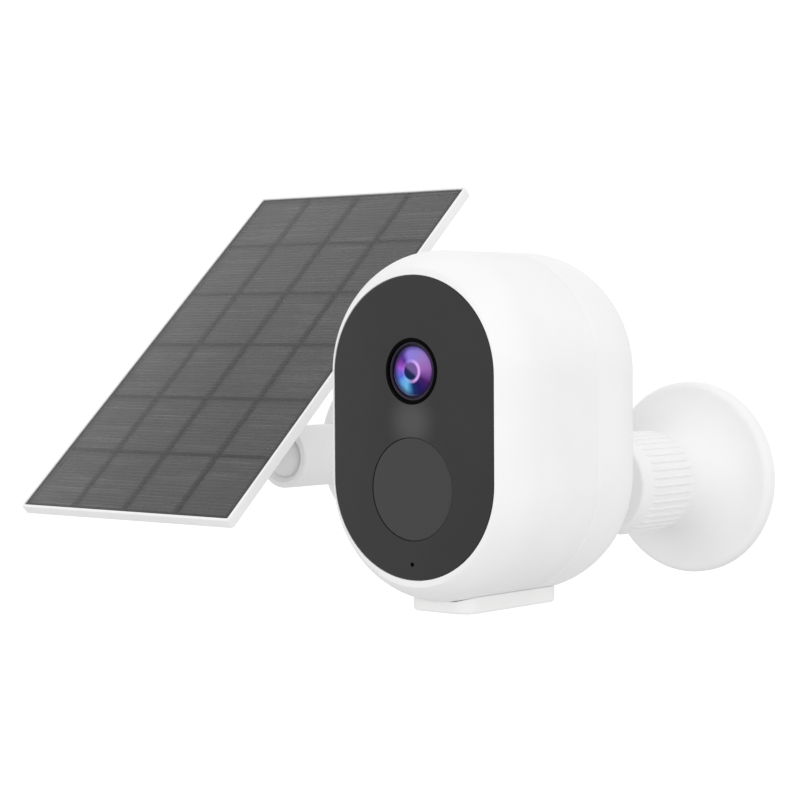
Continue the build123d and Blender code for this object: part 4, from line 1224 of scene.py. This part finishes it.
    def build_cover_lip(self, shop: Workshop) -> None:
        """Makes the soft lip round the port cover's top edge, which closes on the round of the case."""
        width, length, middle, wall = 21.5, 42.4, 105.8, 1.2
        steps = ((-0.02, 0), (-0.02, 1), (wall, 1), (wall, 0))
        rings = [rounded_box(width - 2 * i, length - 2 * i, 5.0 - i) for i, _ in steps]
        lip = loft(
            "cover_lip", rings, [float(top) for _, top in steps], Place((0.0, -middle, 0.0), 0.0), Edge.JOINED
        )
        axis = self.centre.origin[2] - self.half
        for vertex in lip.data.vertices:
            radius = self.case_r + (0.07 if vertex.co.z > 0.5 * MM else 0.9)
            vertex.co.z = (axis - math.sqrt(radius**2 - (vertex.co.x / MM) ** 2)) * MM
        shop.hand_over(lip, "cover", "white_rubber")

    def build_eye(self, shop: Workshop) -> None:
        """Makes the lens ring with its baffle steps, the trim ring and the domed glass."""
        place = Place((0.0, 0.0, self.lens_z))
        proud, lip = self.front + 0.3, 7.9
        section = [(lip, proud - 0.12), (lip + 0.1, proud - 0.02)] + arc(
            (self.lens_r - 0.3, proud - 0.3), 0.3, 90.0, 0.0, 5
        )
        section += [
            (self.lens_r, self.front - 5.4), (7.2, self.front - 5.4), (7.2, self.front - 3.3),
            (lip, self.front - 3.3),
        ]
        ring = turned("lens_ring", section, place, steps=64)
        shop.hand_over(ring, "head", "lens_black", "lens_bezel")
        low, high = self.front - 3.2, self.front - 0.35
        trim = [(7.0, low), (7.85, low), (7.85, high - 0.1), (7.78, high), (7.66, high)]
        trim += [(7.3, high - 0.12), (7.1, high - 0.02), (7.0, high - 0.1)]
        shop.hand_over(turned("lens_trim_ring", trim, place, steps=64), "head", "lens_trim", "lens_retainer")
        turn, steps = math.degrees(math.asin(LENS_GLASS_R / self.dome_r)), 12
        turns = [math.radians(t) for t in [turn * (1 - i / steps) for i in range(steps)] + [turn * 0.02]]
        dome = [(self.dome_r * math.sin(t), proud - self.dome_r * (1 - math.cos(t))) for t in turns]
        glass = turned("lens_dome", [(LENS_GLASS_R, low)] + dome, place, steps=64, edge=Edge.CAPPED)
        shop.hand_over(glass, "head", "lens_glass", "lens_glass")


# --- solar panel --------------------------------------------------------------------------------------


@dataclass
class SolarPanel:
    """The solar panel: its frame, its satin front, its cells with their printed lines, and its screws."""

    place: Place = PANEL_MIDDLE
    width: float = 92.5
    length: float = 152.2
    corner: float = 1.3
    back: float = 37.5
    front: float = 41.1
    sheet: Point = (90.4, 150.0)
    sheet_depth: Point = (39.8, 40.8)
    cell_depth: float = 39.5
    cell_t: float = 0.24
    finger_depth: float = 39.765
    screw_pitch: Point = (68.0, 135.0)
    screw_depth: float = 32.3

    def slab(
        self, name: str, size: Point, corner: float, steps: Sequence[Point], edge: Edge
    ) -> bpy.types.Object:
        """Makes a rounded rectangle's solid from (inset, depth) steps."""
        rings = [rounded_box(size[0] - 2 * i, size[1] - 2 * i, max(corner - i, 0.1)) for i, _ in steps]
        return loft(name, rings, [depth for _, depth in steps], self.place, edge)

    def build(self, shop: Workshop) -> None:
        """Makes the panel's pieces and hands them over."""
        frame_steps = [(0.45, self.back), (0.0, self.back + 0.45)]
        frame_steps += [(0.4 - x, self.front - 0.4 + y) for x, y in arc((0.0, 0.0), 0.4, 0.0, 90.0, 6)]
        frame_steps += [
            (0.85, self.front), (0.97, self.front - 0.12), (1.0, 38.5), (9.25, 38.5), (9.25, self.back)
        ]
        rim = self.slab("panel_rim", (self.width, self.length), self.corner, frame_steps, Edge.JOINED)
        shop.hand_over(rim, "panel", "white_shell", "panel_frame")
        low, high = self.sheet_depth
        sheet_steps = [(0.0, low), (0.0, high - 0.2), (0.06, high - 0.06), (0.2, high)]
        sheet = self.slab("panel_front_sheet", self.sheet, 0.6, sheet_steps, Edge.CAPPED)
        shop.hand_over(sheet, "panel", "panel_glass", "panel_sheet")
        wafers = shop.wafers.make(
            "cell_wafers", self.place, shop.finish["cell_dark"], Depth=self.cell_depth, Thickness=self.cell_t,
        )
        shop.hand_over(wafers, "panel", "cell_dark", "solar_cells")
        fingers = shop.fingers.make("cell_fingers", self.place, shop.finish["steel"], Depth=self.finger_depth)
        shop.hand_over(fingers, "panel", "steel")
        screws = shop.screws.make(
            "panel_cross_screws", self.place, shop.finish["steel"], Pitch_Across=self.screw_pitch[0],
            Pitch_Up=self.screw_pitch[1], Depth=self.screw_depth, Head_Radius=2.2, Head_Height=-1.2,
            Slot=0.55,
            Shank_Radius=1.16, Shank_Length=-4.0,
        )
        shop.hand_over(screws, "panel", "steel", "panel_screws")


# --- studio -------------------------------------------------------------------------------------------


@dataclass
class Studio:
    """A pale floor, soft lamps and the camera."""

    turn: float = 0.70252
    rise: float = 0.032395
    roll: float = -0.0053756
    offset: tuple[float, float, float] = (91.82, -23.85, 713.78)
    lens: float = 102.72
    floor_z: float = -0.32
    lamp_aim: tuple[float, float, float] = (-0.06, -0.08, 0.04)
    lamps: tuple[tuple[str, tuple[float, float, float], float, float], ...] = (
        ("softbox_above", (0.15, -0.35, 1.0), 0.9, 0.3),
        ("softbox_side", (1.1, -0.9, 0.1), 0.8, 2.2),
        ("softbox_front", (0.7, -1.6, 0.0), 0.9, 2.2),
    )

    def build(self) -> None:
        """Sets up the room and the camera."""
        scene = bpy.context.scene
        scene.view_settings.view_transform = "Standard"
        self.build_floor()
        self.build_sky(scene)
        for name, place, size, power in self.lamps:
            self.lamp(name, place, size, power)
        self.build_camera(scene)

    def build_floor(self) -> None:
        """Lays a plain pale floor, well below the object."""
        build = bmesh.new()
        bmesh.ops.create_grid(build, x_segments=2, y_segments=2, size=12.0)
        build.transform(Matrix.Translation((0.0, 0.0, self.floor_z)))
        floor = finish_mesh("studio_floor", build)
        bench = Bench("floor_paint")
        cloud = bench.group(Effect.GRAIN, Cloud_Scale=2.0)["Tone"]
        bench.feed(Base_Color=bench.blend(cloud, (0.93, 0.93, 0.93), (0.96, 0.96, 0.96)), Roughness=0.9)
        bench.feed(Specular_IOR_Level=0.1, Emission_Color=(1.0, 1.0, 1.0), Emission_Strength=0.16)
        floor.data.materials.append(bench.material)
        floor.visible_diffuse = False
        floor.visible_glossy = False

    def build_sky(self, scene: bpy.types.Scene) -> None:
        """Fills the room with soft light, brighter from above than from below, and white where it is seen."""
        world = bpy.data.worlds.new("soft_room")
        scene.world = world
        world.use_nodes = True
        wire = Wiring(world.node_tree)
        way = wire.add("ShaderNodeTexCoord").outputs["Generated"]
        height = wire.add("ShaderNodeSeparateXYZ", {0: way}).outputs[2]
        level = wire.add(
            "ShaderNodeMapRange",
            {"Value": height, "From Min": -0.85, "From Max": 0.2, "To Min": 0.72, "To Max": 1.03},
        )
        seen = wire.add("ShaderNodeLightPath").outputs["Is Camera Ray"]
        strength = wire.math("MAXIMUM", level.outputs[0], wire.math("MULTIPLY", seen, 1.05))
        sky = world.node_tree.nodes["Background"]
        world.node_tree.links.new(strength, sky.inputs["Strength"])
        sky.inputs["Color"].default_value = (1.0, 1.0, 1.0, 1.0)

    def lamp(self, name: str, place: tuple[float, float, float], size: float, power: float) -> None:
        """Hangs a square softbox that faces the object."""
        light = bpy.data.lights.new(name, "AREA")
        light.shape, light.size, light.energy = "SQUARE", size, power
        lamp = bpy.data.objects.new(name, light)
        lamp.location = place
        lamp.rotation_euler = (Vector(self.lamp_aim) - Vector(place)).to_track_quat("-Z", "Y").to_euler()
        lamp.visible_glossy = False
        bpy.context.scene.collection.objects.link(lamp)

    def build_camera(self, scene: bpy.types.Scene) -> None:
        """Stands the camera at its turn, rise and distance."""
        level = math.cos(self.rise)
        back = Vector((math.sin(self.turn) * level, -math.cos(self.turn) * level, math.sin(self.rise)))
        ahead = -back
        right = ahead.cross(Vector((0.0, 0.0, 1.0))).normalized()
        up = right.cross(ahead)
        side = right * math.cos(self.roll) + up * math.sin(self.roll)
        top = up * math.cos(self.roll) - right * math.sin(self.roll)
        x, y, z = self.offset
        data = bpy.data.cameras.new("view")
        data.lens, data.sensor_width = self.lens, 36.0
        data.clip_start, data.clip_end = 0.01, 60.0
        camera = bpy.data.objects.new("view", data)
        turn = Matrix((side, top, back)).transposed()
        camera.matrix_world = Matrix.Translation(-(side * x + top * y + ahead * z) * MM) @ turn.to_4x4()
        scene.collection.objects.link(camera)
        scene.camera = camera


def main() -> None:
    """Builds the object's looks, sub-assembly by sub-assembly, and the room round it."""
    logging.basicConfig(level=logging.INFO, format="%(name)s: %(message)s")
    shop = Workshop()
    shop.dress_nodes()
    BallMount(
        side="camera", foot=CAMERA_FOOT, stem=Place((0.0, -44.5, 0.0)), grip=Grip.RIBBED, ball_depth=44.5,
        ball_r=9.0,
        nut_r=14.68, nut_back=21.5, nut_front=49.0, lip=48.6, mouth_r=8.35, collar_r=12.26, shoulder=41.4,
        ring_back=17.7, ring_front=22.7, ring_r=9.0,
    ).build(shop)
    BallMount(
        side="panel", foot=PANEL_FOOT, stem=PANEL_STEM, grip=Grip.SMOOTH, ball_depth=PANEL_BALL_DEPTH,
        ball_r=7.0, nut_r=10.2,
        nut_back=31.0, nut_front=55.2, lip=53.8, mouth_r=8.4, collar_r=9.06, shoulder=50.0, ring_back=18.6,
        ring_front=23.2, ring_r=7.4, edge_r=0.7,
    ).build(shop)
    CameraHead().build(shop)
    SolarPanel().build(shop)
    Studio().build()


if __name__ == "__main__":
    main()
